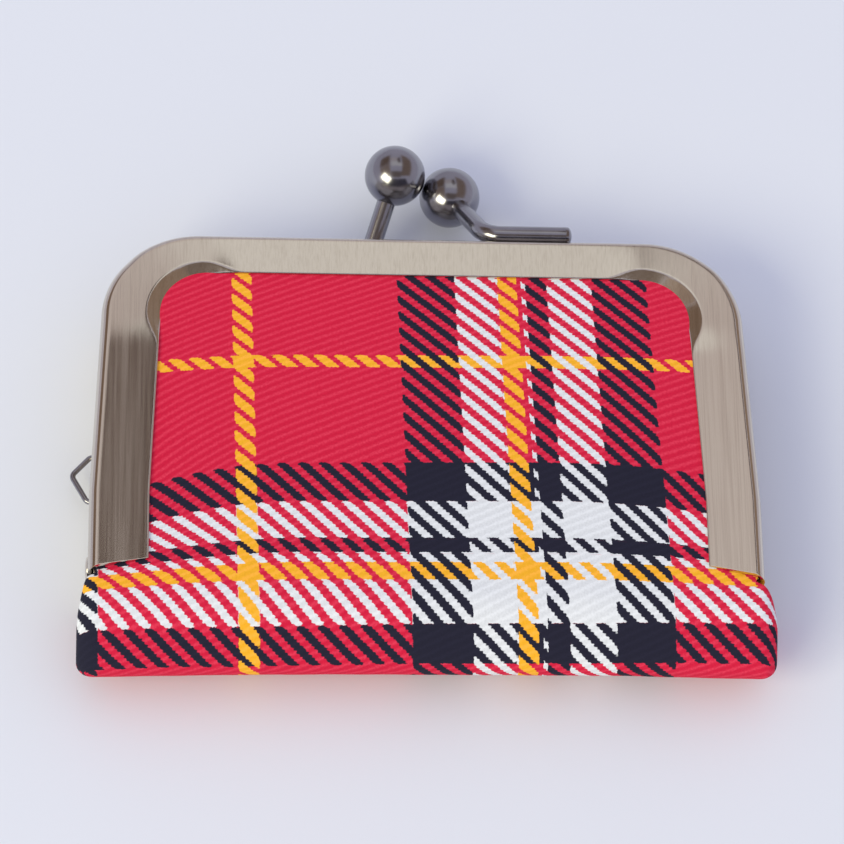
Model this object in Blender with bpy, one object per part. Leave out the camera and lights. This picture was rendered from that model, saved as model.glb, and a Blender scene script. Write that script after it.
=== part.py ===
"""A small clasp-frame pouch that lies on its back.

Metres throughout. X runs across the pouch, Y from the bag's nose up to the clasp balls,
Z out of the front face. The origin is the bottom centre of the whole object, so the back
of the frame rests on Z = 0. The rear frame, the back and the bag's bottom stay still; the
front frame and its panel swing about the two rivets at the frame's lower ends.
"""

import bmesh
import bpy
from math import acos, asin, cos, hypot, pi, radians, sin, sqrt
from mathutils import Vector

# Frame
FRAME_HEIGHT = 0.0460
FRAME_DEPTH = 0.0120
TOP_HALF_WIDTH = 0.0380
ARM_SPREAD = 0.0010
STRAIGHT_ARM_LENGTH = 0.0105
OUTER_CORNER_RADIUS = 0.0115
INNER_CORNER_RADIUS = 0.0056
TOP_LIP_WIDTH = 0.0056
SIDE_LIP_WIDTH = 0.0067
ARM_CUT_SLOPE_DEGREES = 13.0
SHEET = 0.0006
EDGE_RADIUS = 0.0018
INNER_LIP_SETBACK = 0.0008
HALVES_GAP = 0.0001

# Hinge
HINGE_RISE = 0.0030
OPEN_DEGREES = 75.0
EAR_RADIUS = 0.0029
EAR_GAP = 0.0001
EAR_SWING_GAP = 0.0003
SEAM_GAP = 0.00015
EAR_TAIL = 0.0020
RIVET_RADIUS = 0.00075
RIVET_HOLE_GAP = 0.0001
RIVET_HEAD_RADIUS = 0.0015
RIVET_INNER_HEAD_THICKNESS = 0.0006
RIVET_OUTER_HEAD_THICKNESS = 0.0003
RIVET_HEAD_CROWN = 0.0002

# Clasp
CLASP_OFFSET = 0.0007
BALL_RADIUS = 0.0034
BALL_SPACING = 0.00678
BALL_RISE = 0.0110
BALL_STAGGER = 0.0006
BALL_CROSSING = 0.0015
WIRE_RADIUS = 0.0010
WIRE_BEND_RADIUS = 0.0022
WIRE_REACH = 0.0175
WIRE_BEND_REACH = 0.0071
WIRE_FACE_INSET = 0.0001
SOLDER_GAP = 0.00005
BORE_DEPTH = 0.0016
BORE_GAP = 0.0001

# Side loop
LOOP_WIRE_RADIUS = 0.00033
LOOP_SPREAD = 0.0060
LOOP_REACH = 0.0025
LOOP_RISE = 0.0168
LOOP_TIP_LIFT = 0.0005
LOOP_DEPTH_FROM_BACK = 0.0026
LOOP_BEND_RADIUS = 0.0008
LOOP_BEND_STANDOFF = 0.00045
LOOP_END_INSIDE = 0.00015
LOOP_HOLE_GAP = 0.00005

# Panels, from the face of the frame inwards
LAYER_GAP = 0.00005
COVER_THICKNESS = 0.0006
BOARD_THICKNESS = 0.0010
LINING_THICKNESS = 0.00045
PANEL_SIDE_GAP = 0.0001

# Paper cords
PAPER_CORD_RADIUS = 0.0010
PAPER_CORD_SIDE_GAP = 0.0002

# Bag bottom
BAG_DROP = 0.00975
BAG_OVERHANG = 0.00135
BAG_OFFSET = 0.0002
BAG_TOP_GAP = 0.0003
NOSE_RADIUS = 0.0030
BEND_RADIUS = 0.0090
BOTTOM_TILT_DEGREES = 30.0
BOTTOM_EDGE_RADIUS = 0.0015
BOTTOM_INTERLINING_THICKNESS = 0.0004
BOTTOM_LINING_THICKNESS = 0.00035
BOTTOM_LINING_END_GAP = 0.0003
BOTTOM_SEAM_END_GAP = 0.00025

# Cutters
OVERRUN = 0.0010

# Counts of facets
CORNER_STEPS = 10
EDGE_STEPS = 3
ROUND_STEPS = 24
WIRE_RESOLUTION = 2
WIRE_BEND_STEPS = 5
BALL_RINGS = 16
WELD_SHARE = 0.001

# Places worked out from the sizes
MID_Z = FRAME_DEPTH / 2
ARM_HALF_WIDTH = TOP_HALF_WIDTH + ARM_SPREAD
REAR_BALL_RISE = BALL_RISE + BALL_STAGGER
FULL_HEIGHT = BAG_DROP + FRAME_HEIGHT + REAR_BALL_RISE + BALL_RADIUS
ARM_END_Y = BAG_DROP - FULL_HEIGHT / 2
FRAME_TOP_Y = ARM_END_Y + FRAME_HEIGHT
HINGE_Y = ARM_END_Y + HINGE_RISE
SWING_RADIUS = hypot(HINGE_RISE, MID_Z)
SEAM_RADIUS = SWING_RADIUS + SEAM_GAP
BAG_HALF_WIDTH = ARM_HALF_WIDTH + BAG_OVERHANG
ARM_CUT_RISE = SIDE_LIP_WIDTH * sin(radians(ARM_CUT_SLOPE_DEGREES)) / cos(radians(ARM_CUT_SLOPE_DEGREES))

# Depths below the face of the frame at which each layer starts
COVER_DEPTH = SHEET + LAYER_GAP
BOARD_DEPTH = COVER_DEPTH + COVER_THICKNESS + LAYER_GAP
LINING_DEPTH = BOARD_DEPTH + BOARD_THICKNESS + LAYER_GAP
PANEL_DEPTH = LINING_DEPTH + LINING_THICKNESS


def colour(red, green, blue):
    """sRGB shares of 1 to linear."""
    linear = []
    for share in (red, green, blue):
        low = share <= 0.04045
        linear.append(share / 12.92 if low else ((share + 0.055) / 1.055) ** 2.4)
    return (*linear, 1.0)


def material(name, base, roughness, metallic):
    made = bpy.data.materials.new(name)
    made.use_nodes = True
    shader = made.node_tree.nodes["Principled BSDF"]
    shader.inputs["Base Color"].default_value = base
    shader.inputs["Roughness"].default_value = roughness
    shader.inputs["Metallic"].default_value = metallic
    return made


def make_materials():
    return {
        "frame": material("satin_nickel", colour(0.74, 0.71, 0.67), 0.35, 1.0),
        "clasp": material("polished_gunmetal", colour(0.36, 0.34, 0.36), 0.12, 1.0),
        "cloth": material("tartan_cloth", colour(0.80, 0.14, 0.25), 0.85, 0.0),
        "board": material("grey_board", colour(0.62, 0.60, 0.56), 0.90, 0.0),
        "lining": material("black_lining", colour(0.09, 0.09, 0.10), 0.80, 0.0),
        "felt": material("white_interlining", colour(0.85, 0.84, 0.80), 0.95, 0.0),
        "paper": material("twisted_paper", colour(0.66, 0.54, 0.38), 0.95, 0.0),
    }


def clear_scene():
    for thing in list(bpy.data.objects):
        bpy.data.objects.remove(thing, do_unlink=True)


def make_carrier(name, place):
    carrier = bpy.data.objects.new(name, None)
    carrier.location = place
    bpy.context.scene.collection.objects.link(carrier)
    return carrier


def add_object(name, data, finish=None, carrier=None):
    """Link an object whose mesh is in world coordinates, carried by an empty."""
    made = bpy.data.objects.new(name, data)
    bpy.context.scene.collection.objects.link(made)
    if finish:
        data.materials.append(finish)
    if carrier:
        made.parent = carrier
        made.location = -carrier.location
    return made


def mesh_from(name, points, faces, smooth_degrees=35):
    mesh = bpy.data.meshes.new(name)
    mesh.from_pydata(points, [], faces)
    shape = bmesh.new()
    shape.from_mesh(mesh)
    bmesh.ops.recalc_face_normals(shape, faces=shape.faces)
    shape.to_mesh(mesh)
    shape.free()
    mesh.shade_smooth()
    mesh.set_sharp_from_angle(angle=radians(smooth_degrees))
    return mesh


def loft(name, rings):
    """A closed solid through rings of equally many points."""
    count = len(rings[0])
    points = [point for ring in rings for point in ring]
    faces = []
    for ring in range(len(rings) - 1):
        for step in range(count):
            after = (step + 1) % count
            first = ring * count
            second = first + count
            faces.append((first + step, first + after, second + after, second + step))
    last = (len(rings) - 1) * count
    faces.append(tuple(range(count)))
    faces.append(tuple(range(last, last + count)))
    return mesh_from(name, points, faces)


def prism_x(name, outline, low, high):
    """An outline of (y, z) pairs, drawn out along X."""
    return loft(name, [[(x, y, z) for y, z in outline] for x in (low, high)])


def prism_z(name, outline, low, high):
    """An outline of (x, y) pairs, drawn out along Z."""
    return loft(name, [[(x, y, z) for x, y in outline] for z in (low, high)])


def arc(centre, radius, start, end, steps):
    """Points on an arc, angles in radians."""
    points = []
    for step in range(steps + 1):
        angle = start + (end - start) * step / steps
        points.append((centre[0] + radius * cos(angle), centre[1] + radius * sin(angle)))
    return points


def disc(centre, radius, steps=ROUND_STEPS):
    return arc(centre, radius, 0, 2 * pi, steps)[:-1]


def cut(target, cutter, operation="DIFFERENCE"):
    """Take a cutter from a solid, or join it on, and apply that at once."""
    modifier = target.modifiers.new(operation.lower(), "BOOLEAN")
    modifier.operation = operation
    modifier.solver = "EXACT"
    modifier.object = cutter
    bpy.context.view_layer.update()
    depsgraph = bpy.context.evaluated_depsgraph_get()
    result = bpy.data.meshes.new_from_object(target.evaluated_get(depsgraph))
    target.modifiers.clear()
    target.data = result
    bpy.data.objects.remove(cutter, do_unlink=True)


def arm_slope():
    """Sideways lean of the tapering side, per length of Y."""
    rise = FRAME_HEIGHT - OUTER_CORNER_RADIUS - STRAIGHT_ARM_LENGTH
    return ARM_SPREAD / rise


def half_path(inset, corner_radius, end_y, top_inset=None):
    """Right half of a U outline inside the frame, from the arm's end up to the middle.

    inset is the distance in from the frame's side; top_inset is that from its top.
    """
    top = FRAME_TOP_Y - (inset if top_inset is None else top_inset)
    straight_y = ARM_END_Y + STRAIGHT_ARM_LENGTH
    lean = arm_slope()
    corner_y = top - corner_radius
    corner_x = ARM_HALF_WIDTH - inset - lean * (corner_y - straight_y)
    corner = (corner_x - corner_radius, corner_y)
    points = [(ARM_HALF_WIDTH - inset, end_y), (ARM_HALF_WIDTH - inset, straight_y)]
    points += arc(corner, corner_radius, 0, pi / 2, CORNER_STEPS)
    return points


def mirrored(half):
    """Both halves of an outline that is symmetric about X = 0."""
    return half + [(-x, y) for x, y in reversed(half)]


def frame_section(outer, inner_lip_edge, lip_edge, normal):
    """Corners of the bent sheet's channel at one place of its path, as (x, y, height over the mid-plane)."""
    low = HALVES_GAP / 2
    face = MID_Z
    inner_radius = EDGE_RADIUS - SHEET
    flat = face - EDGE_RADIUS

    def at(inset, height):
        return (outer[0] - normal[0] * inset, outer[1] - normal[1] * inset, height)

    def edge(place, height):
        return (place[0], place[1], height)

    ring = [edge(lip_edge, face)]
    for inset, height in arc((EDGE_RADIUS, flat), EDGE_RADIUS, pi / 2, pi, EDGE_STEPS):
        ring.append(at(inset, height))
    ring.append(at(0, low))
    ring.append(edge(inner_lip_edge, low))
    ring.append(edge(inner_lip_edge, low + SHEET))
    ring.append(at(SHEET, low + SHEET))
    for inset, height in arc((EDGE_RADIUS, flat), inner_radius, pi, pi / 2, EDGE_STEPS):
        ring.append(at(inset, height))
    ring.append(edge(lip_edge, face - SHEET))
    return ring


def path_normals(count):
    """Outward directions at the points of half_path."""
    normals = [(1.0, 0.0)] * (count - CORNER_STEPS - 1)
    for step in range(CORNER_STEPS + 1):
        angle = pi / 2 * step / CORNER_STEPS
        normals.append((cos(angle), sin(angle)))
    return normals


def frame_shell(name, side):
    """The pressed channel of one frame half; side is 1 for the front and -1 for the rear."""
    outer = half_path(0, OUTER_CORNER_RADIUS, ARM_END_Y)
    lip = half_path(SIDE_LIP_WIDTH, INNER_CORNER_RADIUS, ARM_END_Y + ARM_CUT_RISE, TOP_LIP_WIDTH)
    inner_side = SIDE_LIP_WIDTH - INNER_LIP_SETBACK
    inner_top = TOP_LIP_WIDTH - INNER_LIP_SETBACK
    inner_radius = INNER_CORNER_RADIUS + INNER_LIP_SETBACK
    inner_lip = half_path(inner_side, inner_radius, ARM_END_Y, inner_top)
    normals = path_normals(len(outer))
    rings = []
    for place, inner_edge, lip_edge, normal in zip(outer, inner_lip, lip, normals):
        rings.append(frame_section(place, inner_edge, lip_edge, normal))
    rings += [[(-x, y, z) for x, y, z in ring] for ring in reversed(rings)]
    placed = [[(x, y, MID_Z + side * z) for x, y, z in ring] for ring in rings]
    return loft(name, placed)


def inner_lip_start():
    """Height over the hinge at which the inner lip begins, clear of both ears."""
    return EAR_RADIUS + EAR_SWING_GAP + EAR_TAIL / 2


def trim_inner_lip(frame, side):
    """Cut the channel's inner lip away around the hinge, leaving the side walls."""
    half = ARM_HALF_WIDTH - SHEET
    below = ARM_END_Y - OVERRUN
    above = HINGE_Y + inner_lip_start()
    depths = (MID_Z - side * OVERRUN, MID_Z + side * (HALVES_GAP + SHEET + OVERRUN))
    outline = [(-half, below), (half, below), (half, above), (-half, above)]
    cut(frame, add_object("inner_lip_cutter", prism_z("inner_lip_cutter", outline, *depths)))


def hinge_holes(frame, ear_outer):
    """Bore both ears of a frame half for the rivets."""
    radius = RIVET_RADIUS + RIVET_HOLE_GAP
    for hand in (-1, 1):
        low = hand * (ear_outer - SHEET - OVERRUN)
        high = hand * (ear_outer + OVERRUN)
        cutter = prism_x("hole_cutter", disc((HINGE_Y, MID_Z), radius), low, high)
        cut(frame, add_object("hole_cutter", cutter))


def loop_holes(frame):
    """Bore the left wall of the rear frame for the two ends of the side loop."""
    radius = LOOP_WIRE_RADIUS + LOOP_HOLE_GAP
    for hand in (-1, 1):
        centre = (ARM_END_Y + LOOP_RISE + hand * LOOP_SPREAD / 2, LOOP_DEPTH_FROM_BACK)
        high = -(ARM_HALF_WIDTH - SHEET - OVERRUN)
        cutter = prism_x("hole_cutter", disc(centre, radius), -(ARM_HALF_WIDTH + OVERRUN), high)
        cut(frame, add_object("hole_cutter", cutter))


def make_rear_frame(finish, carrier):
    """Rear channel, whose side walls carry the outer hinge ears."""
    frame = add_object("rear_frame", frame_shell("rear_frame", -1), finish, carrier)
    trim_inner_lip(frame, -1)
    for hand in (-1, 1):
        low = hand * (ARM_HALF_WIDTH - SHEET)
        high = hand * ARM_HALF_WIDTH
        ear = prism_x("ear", disc((HINGE_Y, MID_Z), EAR_RADIUS), low, high)
        cut(frame, add_object("ear", ear), "UNION")
    hinge_holes(frame, ARM_HALF_WIDTH)
    loop_holes(frame)
    return frame


def front_wall_notch():
    """Outline in (y, z) of the front wall's opening around the rear ear and below it."""
    radius = EAR_RADIUS + EAR_SWING_GAP
    below = ARM_END_Y - OVERRUN
    under = MID_Z - OVERRUN
    notch = arc((HINGE_Y, MID_Z), radius, 0, pi / 2, CORNER_STEPS)
    notch += [(below, MID_Z + radius), (below, under), (HINGE_Y + radius, under)]
    return notch


def front_ear_outline():
    """Outline in (y, z) of the inset ear: round at the rivet, with a tail up to its seat."""
    tail = HINGE_Y + EAR_RADIUS + EAR_SWING_GAP + EAR_TAIL
    low = MID_Z + HALVES_GAP / 2
    start = asin(HALVES_GAP / 2 / EAR_RADIUS)
    outline = arc((HINGE_Y, MID_Z), EAR_RADIUS, pi / 2, 2 * pi + start, ROUND_STEPS)
    return outline + [(tail, low), (tail, MID_Z + EAR_RADIUS)]


def make_front_frame(finish, carrier):
    """Front channel, with an inset ear in each arm that sits inside the rear ear."""
    frame = add_object("front_frame", frame_shell("front_frame", 1), finish, carrier)
    trim_inner_lip(frame, 1)
    ear_outer = ARM_HALF_WIDTH - SHEET - EAR_GAP
    wall_low = ARM_HALF_WIDTH - SHEET - OVERRUN
    wall_high = ARM_HALF_WIDTH + OVERRUN
    seat_low = HINGE_Y + EAR_RADIUS + EAR_SWING_GAP
    seat_high = seat_low + EAR_TAIL
    seat = [(seat_low, MID_Z + HALVES_GAP / 2), (seat_high, MID_Z + HALVES_GAP / 2)]
    seat += [(seat_high, MID_Z + EAR_RADIUS), (seat_low, MID_Z + EAR_RADIUS)]
    for hand in (-1, 1):
        notch = prism_x("notch", front_wall_notch(), hand * wall_low, hand * wall_high)
        cut(frame, add_object("notch", notch))
        ear = prism_x("ear", front_ear_outline(), hand * (ear_outer - SHEET), hand * ear_outer)
        ear_part = add_object("ear", ear)
        step = prism_x("step", seat, hand * (ear_outer - SHEET / 2), hand * (ARM_HALF_WIDTH - SHEET / 2))
        cut(ear_part, add_object("step", step), "UNION")
        cut(frame, ear_part, "UNION")
    hinge_holes(frame, ear_outer)
    return frame


def make_rivet(name, hand, finish, carrier):
    """One turned rivet: flat outer head, shaft through both ears, taller inner head."""
    outer = ARM_HALF_WIDTH + EAR_GAP / 2
    inner = ARM_HALF_WIDTH - 2 * SHEET - 3 * EAR_GAP / 2
    steps = [
        (inner - RIVET_INNER_HEAD_THICKNESS, RIVET_HEAD_RADIUS - RIVET_HEAD_CROWN),
        (inner - RIVET_INNER_HEAD_THICKNESS + RIVET_HEAD_CROWN, RIVET_HEAD_RADIUS),
        (inner, RIVET_HEAD_RADIUS),
        (inner, RIVET_RADIUS),
        (outer, RIVET_RADIUS),
        (outer, RIVET_HEAD_RADIUS),
        (outer + RIVET_OUTER_HEAD_THICKNESS - RIVET_HEAD_CROWN, RIVET_HEAD_RADIUS),
        (outer + RIVET_OUTER_HEAD_THICKNESS, RIVET_HEAD_RADIUS - RIVET_HEAD_CROWN),
    ]
    rings = []
    for x, radius in steps:
        rings.append([(hand * x, y, z) for y, z in disc((HINGE_Y, MID_Z), radius)])
    return add_object(name, loft(name, rings), finish, carrier)


def rounded_route(corners, radius, steps):
    """A polyline with each inner corner replaced by an arc of the given radius."""
    route = [Vector(corners[0])]
    for index in range(1, len(corners) - 1):
        here = Vector(corners[index])
        back = (Vector(corners[index - 1]) - here).normalized()
        ahead = (Vector(corners[index + 1]) - here).normalized()
        half_angle = acos(back.dot(ahead)) / 2
        bisector = (back + ahead).normalized()
        centre = here + bisector * (radius / sin(half_angle))
        tangent = radius * cos(half_angle) / sin(half_angle)
        first = (here + back * tangent - centre).normalized()
        last = (here + ahead * tangent - centre).normalized()
        for step in range(steps + 1):
            route.append(centre + first.slerp(last, step / steps) * radius)
    route.append(Vector(corners[-1]))
    return route


def tube(name, route, radius, finish, carrier, resolution=WIRE_RESOLUTION):
    """A round wire along a route, as one closed mesh."""
    curve = bpy.data.curves.new(name, "CURVE")
    curve.dimensions = "3D"
    curve.bevel_depth = radius
    curve.bevel_resolution = resolution
    curve.use_fill_caps = True
    spline = curve.splines.new("POLY")
    spline.points.add(len(route) - 1)
    for point, place in zip(spline.points, route):
        point.co = (*place, 1.0)
    guide = bpy.data.objects.new(name, curve)
    bpy.context.scene.collection.objects.link(guide)
    bpy.context.view_layer.update()
    depsgraph = bpy.context.evaluated_depsgraph_get()
    mesh = bpy.data.meshes.new_from_object(guide.evaluated_get(depsgraph))
    bpy.data.objects.remove(guide, do_unlink=True)
    shape = bmesh.new()
    shape.from_mesh(mesh)
    bmesh.ops.remove_doubles(shape, verts=shape.verts, dist=radius * WELD_SHARE)
    bmesh.ops.recalc_face_normals(shape, faces=shape.faces)
    shape.to_mesh(mesh)
    shape.free()
    mesh.shade_smooth()
    mesh.materials.clear()
    return add_object(name, mesh, finish, carrier)


def ball_centre(side):
    """Centre of a clasp ball; the two balls cross over the mid-plane when the frame is shut."""
    x = CLASP_OFFSET + side * BALL_SPACING / 2
    y = FRAME_TOP_Y + BALL_RISE - side * BALL_STAGGER
    return Vector((x, y, MID_Z - side * BALL_CROSSING))


def wire_corners(side):
    """Route of a clasp wire: along the frame's top, round the bend and up to its ball."""
    y = FRAME_TOP_Y + SOLDER_GAP + WIRE_RADIUS
    z = MID_Z + side * (MID_Z - WIRE_FACE_INSET - WIRE_RADIUS)
    end = Vector((CLASP_OFFSET + side * WIRE_REACH, y, z))
    bend = Vector((CLASP_OFFSET + side * WIRE_BEND_REACH, y, z))
    centre = ball_centre(side)
    inward = (centre - bend).normalized()
    tip = centre - inward * (BALL_RADIUS - BORE_DEPTH + BORE_GAP)
    return [end, bend, tip]


def make_clasp(side, word, finish, carrier):
    """The ball and bent wire that are soldered to one frame half."""
    corners = wire_corners(side)
    route = rounded_route(corners, WIRE_BEND_RADIUS, WIRE_BEND_STEPS)
    tube("clasp_wire_" + word, route, WIRE_RADIUS, finish, carrier, WIRE_RESOLUTION)
    shape = bmesh.new()
    bmesh.ops.create_uvsphere(shape, u_segments=ROUND_STEPS, v_segments=BALL_RINGS, radius=BALL_RADIUS)
    centre = ball_centre(side)
    bmesh.ops.translate(shape, verts=shape.verts, vec=centre)
    mesh = bpy.data.meshes.new("clasp_ball_" + word)
    shape.to_mesh(mesh)
    shape.free()
    mesh.shade_smooth()
    ball = add_object("clasp_ball_" + word, mesh, finish, carrier)
    outward = (corners[1] - centre).normalized()
    floor = centre + outward * (BALL_RADIUS - BORE_DEPTH)
    mouth = centre + outward * (BALL_RADIUS + OVERRUN)
    bore = tube("bore", [floor, mouth], WIRE_RADIUS + BORE_GAP, finish, None)
    cut(ball, bore)


def wall_half_width(rise):
    """Half width over the frame's sides at a height over the arms' ends."""
    return ARM_HALF_WIDTH - arm_slope() * max(0, rise - STRAIGHT_ARM_LENGTH)


def make_side_loop(finish, carrier):
    """Small wire eye whose two ends go through the rear frame's left wall."""

    def place(rise, out):
        return Vector((-wall_half_width(rise) - out, ARM_END_Y + rise, LOOP_DEPTH_FROM_BACK))

    inside = -SHEET - LOOP_END_INSIDE
    low = LOOP_RISE - LOOP_SPREAD / 2
    high = LOOP_RISE + LOOP_SPREAD / 2
    tip = place(LOOP_RISE + LOOP_TIP_LIFT, LOOP_REACH)
    corners = [place(low, inside), place(low, LOOP_BEND_STANDOFF), tip]
    corners += [place(high, LOOP_BEND_STANDOFF), place(high, inside)]
    route = rounded_route(corners, LOOP_BEND_RADIUS, WIRE_BEND_STEPS)
    tube("side_loop", route, LOOP_WIRE_RADIUS, finish, carrier)


def panel_end_y(outer_depth):
    """Lower edge of a panel layer, inside the circle that the frame's arm ends swing on."""
    height = MID_Z - outer_depth
    return HINGE_Y - sqrt(SWING_RADIUS ** 2 - height ** 2)


def make_panel(name, side, depth, thickness, end_y, finish, carrier):
    """One flat layer of the front or back, held in the frame's channel."""
    inset = EDGE_RADIUS + PANEL_SIDE_GAP
    half = half_path(inset, OUTER_CORNER_RADIUS - inset, end_y)
    outer = MID_Z + side * (MID_Z - depth)
    inner = outer - side * thickness
    return add_object(name, prism_z(name, mirrored(half), outer, inner), finish, carrier)


def make_panels(side, word, finishes, carrier):
    """Cover, board and lining of one face."""
    cover_end = panel_end_y(COVER_DEPTH)
    make_panel(word + "_cover", side, COVER_DEPTH, COVER_THICKNESS, cover_end, finishes["cloth"], carrier)
    make_panel(word + "_board", side, BOARD_DEPTH, BOARD_THICKNESS, ARM_END_Y, finishes["board"], carrier)
    make_panel(word + "_lining", side, LINING_DEPTH, LINING_THICKNESS, ARM_END_Y, finishes["lining"], carrier)


def make_paper_cord(name, side, finish, carrier):
    """Twisted paper that wedges the layers in the channel of one frame half."""
    inset = SHEET + PAPER_CORD_SIDE_GAP + PAPER_CORD_RADIUS
    start = HINGE_Y + EAR_RADIUS + EAR_SWING_GAP + EAR_TAIL + PAPER_CORD_SIDE_GAP
    half = half_path(inset, OUTER_CORNER_RADIUS - inset, start)
    channel_low = HALVES_GAP / 2 + SHEET
    channel_high = MID_Z - PANEL_DEPTH
    z = MID_Z + side * (channel_low + channel_high) / 2
    route = [Vector((x, y, z)) for x, y in mirrored(half)]
    tube(name, route, PAPER_CORD_RADIUS, finish, carrier)


def bottom_profile(inset, top_y):
    """Outline in (y, z) of the bag's bottom, offset inwards by inset."""
    tilt = radians(BOTTOM_TILT_DEGREES)
    face = MID_Z - COVER_DEPTH
    bend_end = face - BEND_RADIUS * (1 - cos(tilt))
    straight = (bend_end - NOSE_RADIUS * cos(tilt)) / sin(tilt)
    nose_y = ARM_END_Y - BAG_DROP + NOSE_RADIUS
    bend_y = nose_y - NOSE_RADIUS * sin(tilt) + straight * cos(tilt) + BEND_RADIUS * sin(tilt)
    bend = arc((bend_y, face - BEND_RADIUS), BEND_RADIUS - inset, pi / 2, pi / 2 + tilt, EDGE_STEPS)
    nose = arc((nose_y, 0), NOSE_RADIUS - inset, pi / 2 + tilt, pi, CORNER_STEPS)
    half = [(top_y, face - inset)] + bend + nose
    lower = [(y, -z) for y, z in reversed(half[:-1])]
    return [(y, MID_Z + z) for y, z in half + lower]


def boat(name, half_width, inset, edge_radius, top_y):
    """A solid of the bottom's profile whose two ends are rounded off."""
    rings = []
    for step in range(EDGE_STEPS + 1):
        angle = pi / 2 * step / EDGE_STEPS
        x = half_width - edge_radius * (1 - sin(angle))
        ring_inset = inset + edge_radius * (1 - cos(angle))
        outline = bottom_profile(ring_inset, top_y)
        rings.append([(BAG_OFFSET + x, y, z) for y, z in outline])
    rings.reverse()
    others = []
    for ring in reversed(rings):
        others.append([(2 * BAG_OFFSET - x, y, z) for x, y, z in ring])
    return loft(name, rings + others)


def seam_cutter(half_length):
    """The room in the bottom's mouth that the front half needs as it opens.

    Round where the arms' ends swing, and straight where the front's face comes to lie.
    """
    opened = radians(OPEN_DEGREES)
    face = MID_Z + SEAM_GAP
    start = asin(face / SEAM_RADIUS)
    outline = arc((0, 0), SEAM_RADIUS, start, 2 * pi, 2 * ROUND_STEPS)
    outline += [(FRAME_HEIGHT, 0), (FRAME_HEIGHT, face)]
    turned = []
    for along, out in outline:
        y = HINGE_Y + along * cos(opened) - out * sin(opened)
        z = MID_Z + along * sin(opened) + out * cos(opened)
        turned.append((y, z))
    mesh = prism_x("seam_cutter", turned, -half_length, half_length)
    return add_object("seam_cutter", mesh)


def make_bottom(finishes, carrier):
    """Cover, interlining and lining of the folded bottom of the bag."""
    top = ARM_END_Y - BAG_TOP_GAP
    open_top = HINGE_Y + SEAM_RADIUS
    cover = add_object(
        "bottom_cover",
        boat("bottom_cover", BAG_HALF_WIDTH, 0, BOTTOM_EDGE_RADIUS, top),
        finishes["cloth"],
        carrier,
    )
    hollow_half = BAG_HALF_WIDTH - COVER_THICKNESS
    hollow_radius = BOTTOM_EDGE_RADIUS - COVER_THICKNESS
    hollow = boat("hollow", hollow_half, COVER_THICKNESS, hollow_radius, open_top)
    cut(cover, add_object("hollow", hollow))
    cut(cover, seam_cutter(ARM_HALF_WIDTH + BOTTOM_SEAM_END_GAP))

    strip_inset = COVER_THICKNESS + LAYER_GAP
    strip_half = BAG_HALF_WIDTH - BAG_OFFSET - BOTTOM_EDGE_RADIUS - LAYER_GAP
    strip_inner = strip_inset + BOTTOM_INTERLINING_THICKNESS
    strip = add_object(
        "bottom_interlining",
        prism_x("strip", bottom_profile(strip_inset, top), -strip_half, strip_half),
        finishes["felt"],
        carrier,
    )
    past = strip_half + OVERRUN
    cut(strip, add_object("hollow", prism_x("hollow", bottom_profile(strip_inner, open_top), -past, past)))
    cut(strip, seam_cutter(past))

    lining_inset = strip_inner + LAYER_GAP
    lining_half = ARM_HALF_WIDTH + BOTTOM_LINING_END_GAP
    lining = add_object(
        "bottom_lining",
        prism_x("lining", bottom_profile(lining_inset, top), -lining_half, lining_half),
        finishes["lining"],
        carrier,
    )
    inner_half = lining_half - BOTTOM_LINING_THICKNESS
    inner = bottom_profile(lining_inset + BOTTOM_LINING_THICKNESS, open_top)
    cut(lining, add_object("hollow", prism_x("hollow", inner, -inner_half, inner_half)))
    cut(lining, seam_cutter(lining_half + OVERRUN))


def make_pouch():
    clear_scene()
    finishes = make_materials()
    rear = make_carrier("rear_half", Vector((0, 0, 0)))
    front = make_carrier("front_half", Vector((0, HINGE_Y, MID_Z)))
    make_rear_frame(finishes["frame"], rear)
    make_front_frame(finishes["frame"], front)
    make_rivet("hinge_rivet_left", -1, finishes["frame"], rear)
    make_rivet("hinge_rivet_right", 1, finishes["frame"], rear)
    make_clasp(-1, "rear", finishes["clasp"], rear)
    make_clasp(1, "front", finishes["clasp"], front)
    make_side_loop(finishes["clasp"], rear)
    make_panels(-1, "back", finishes, rear)
    make_panels(1, "front", finishes, front)
    make_paper_cord("rear_paper_cord", -1, finishes["paper"], rear)
    make_paper_cord("front_paper_cord", 1, finishes["paper"], front)
    make_bottom(finishes, rear)


make_pouch()
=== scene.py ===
from functools import partial
from math import acos, asin, cos, hypot, pi, radians, sin, sqrt, tan

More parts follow.
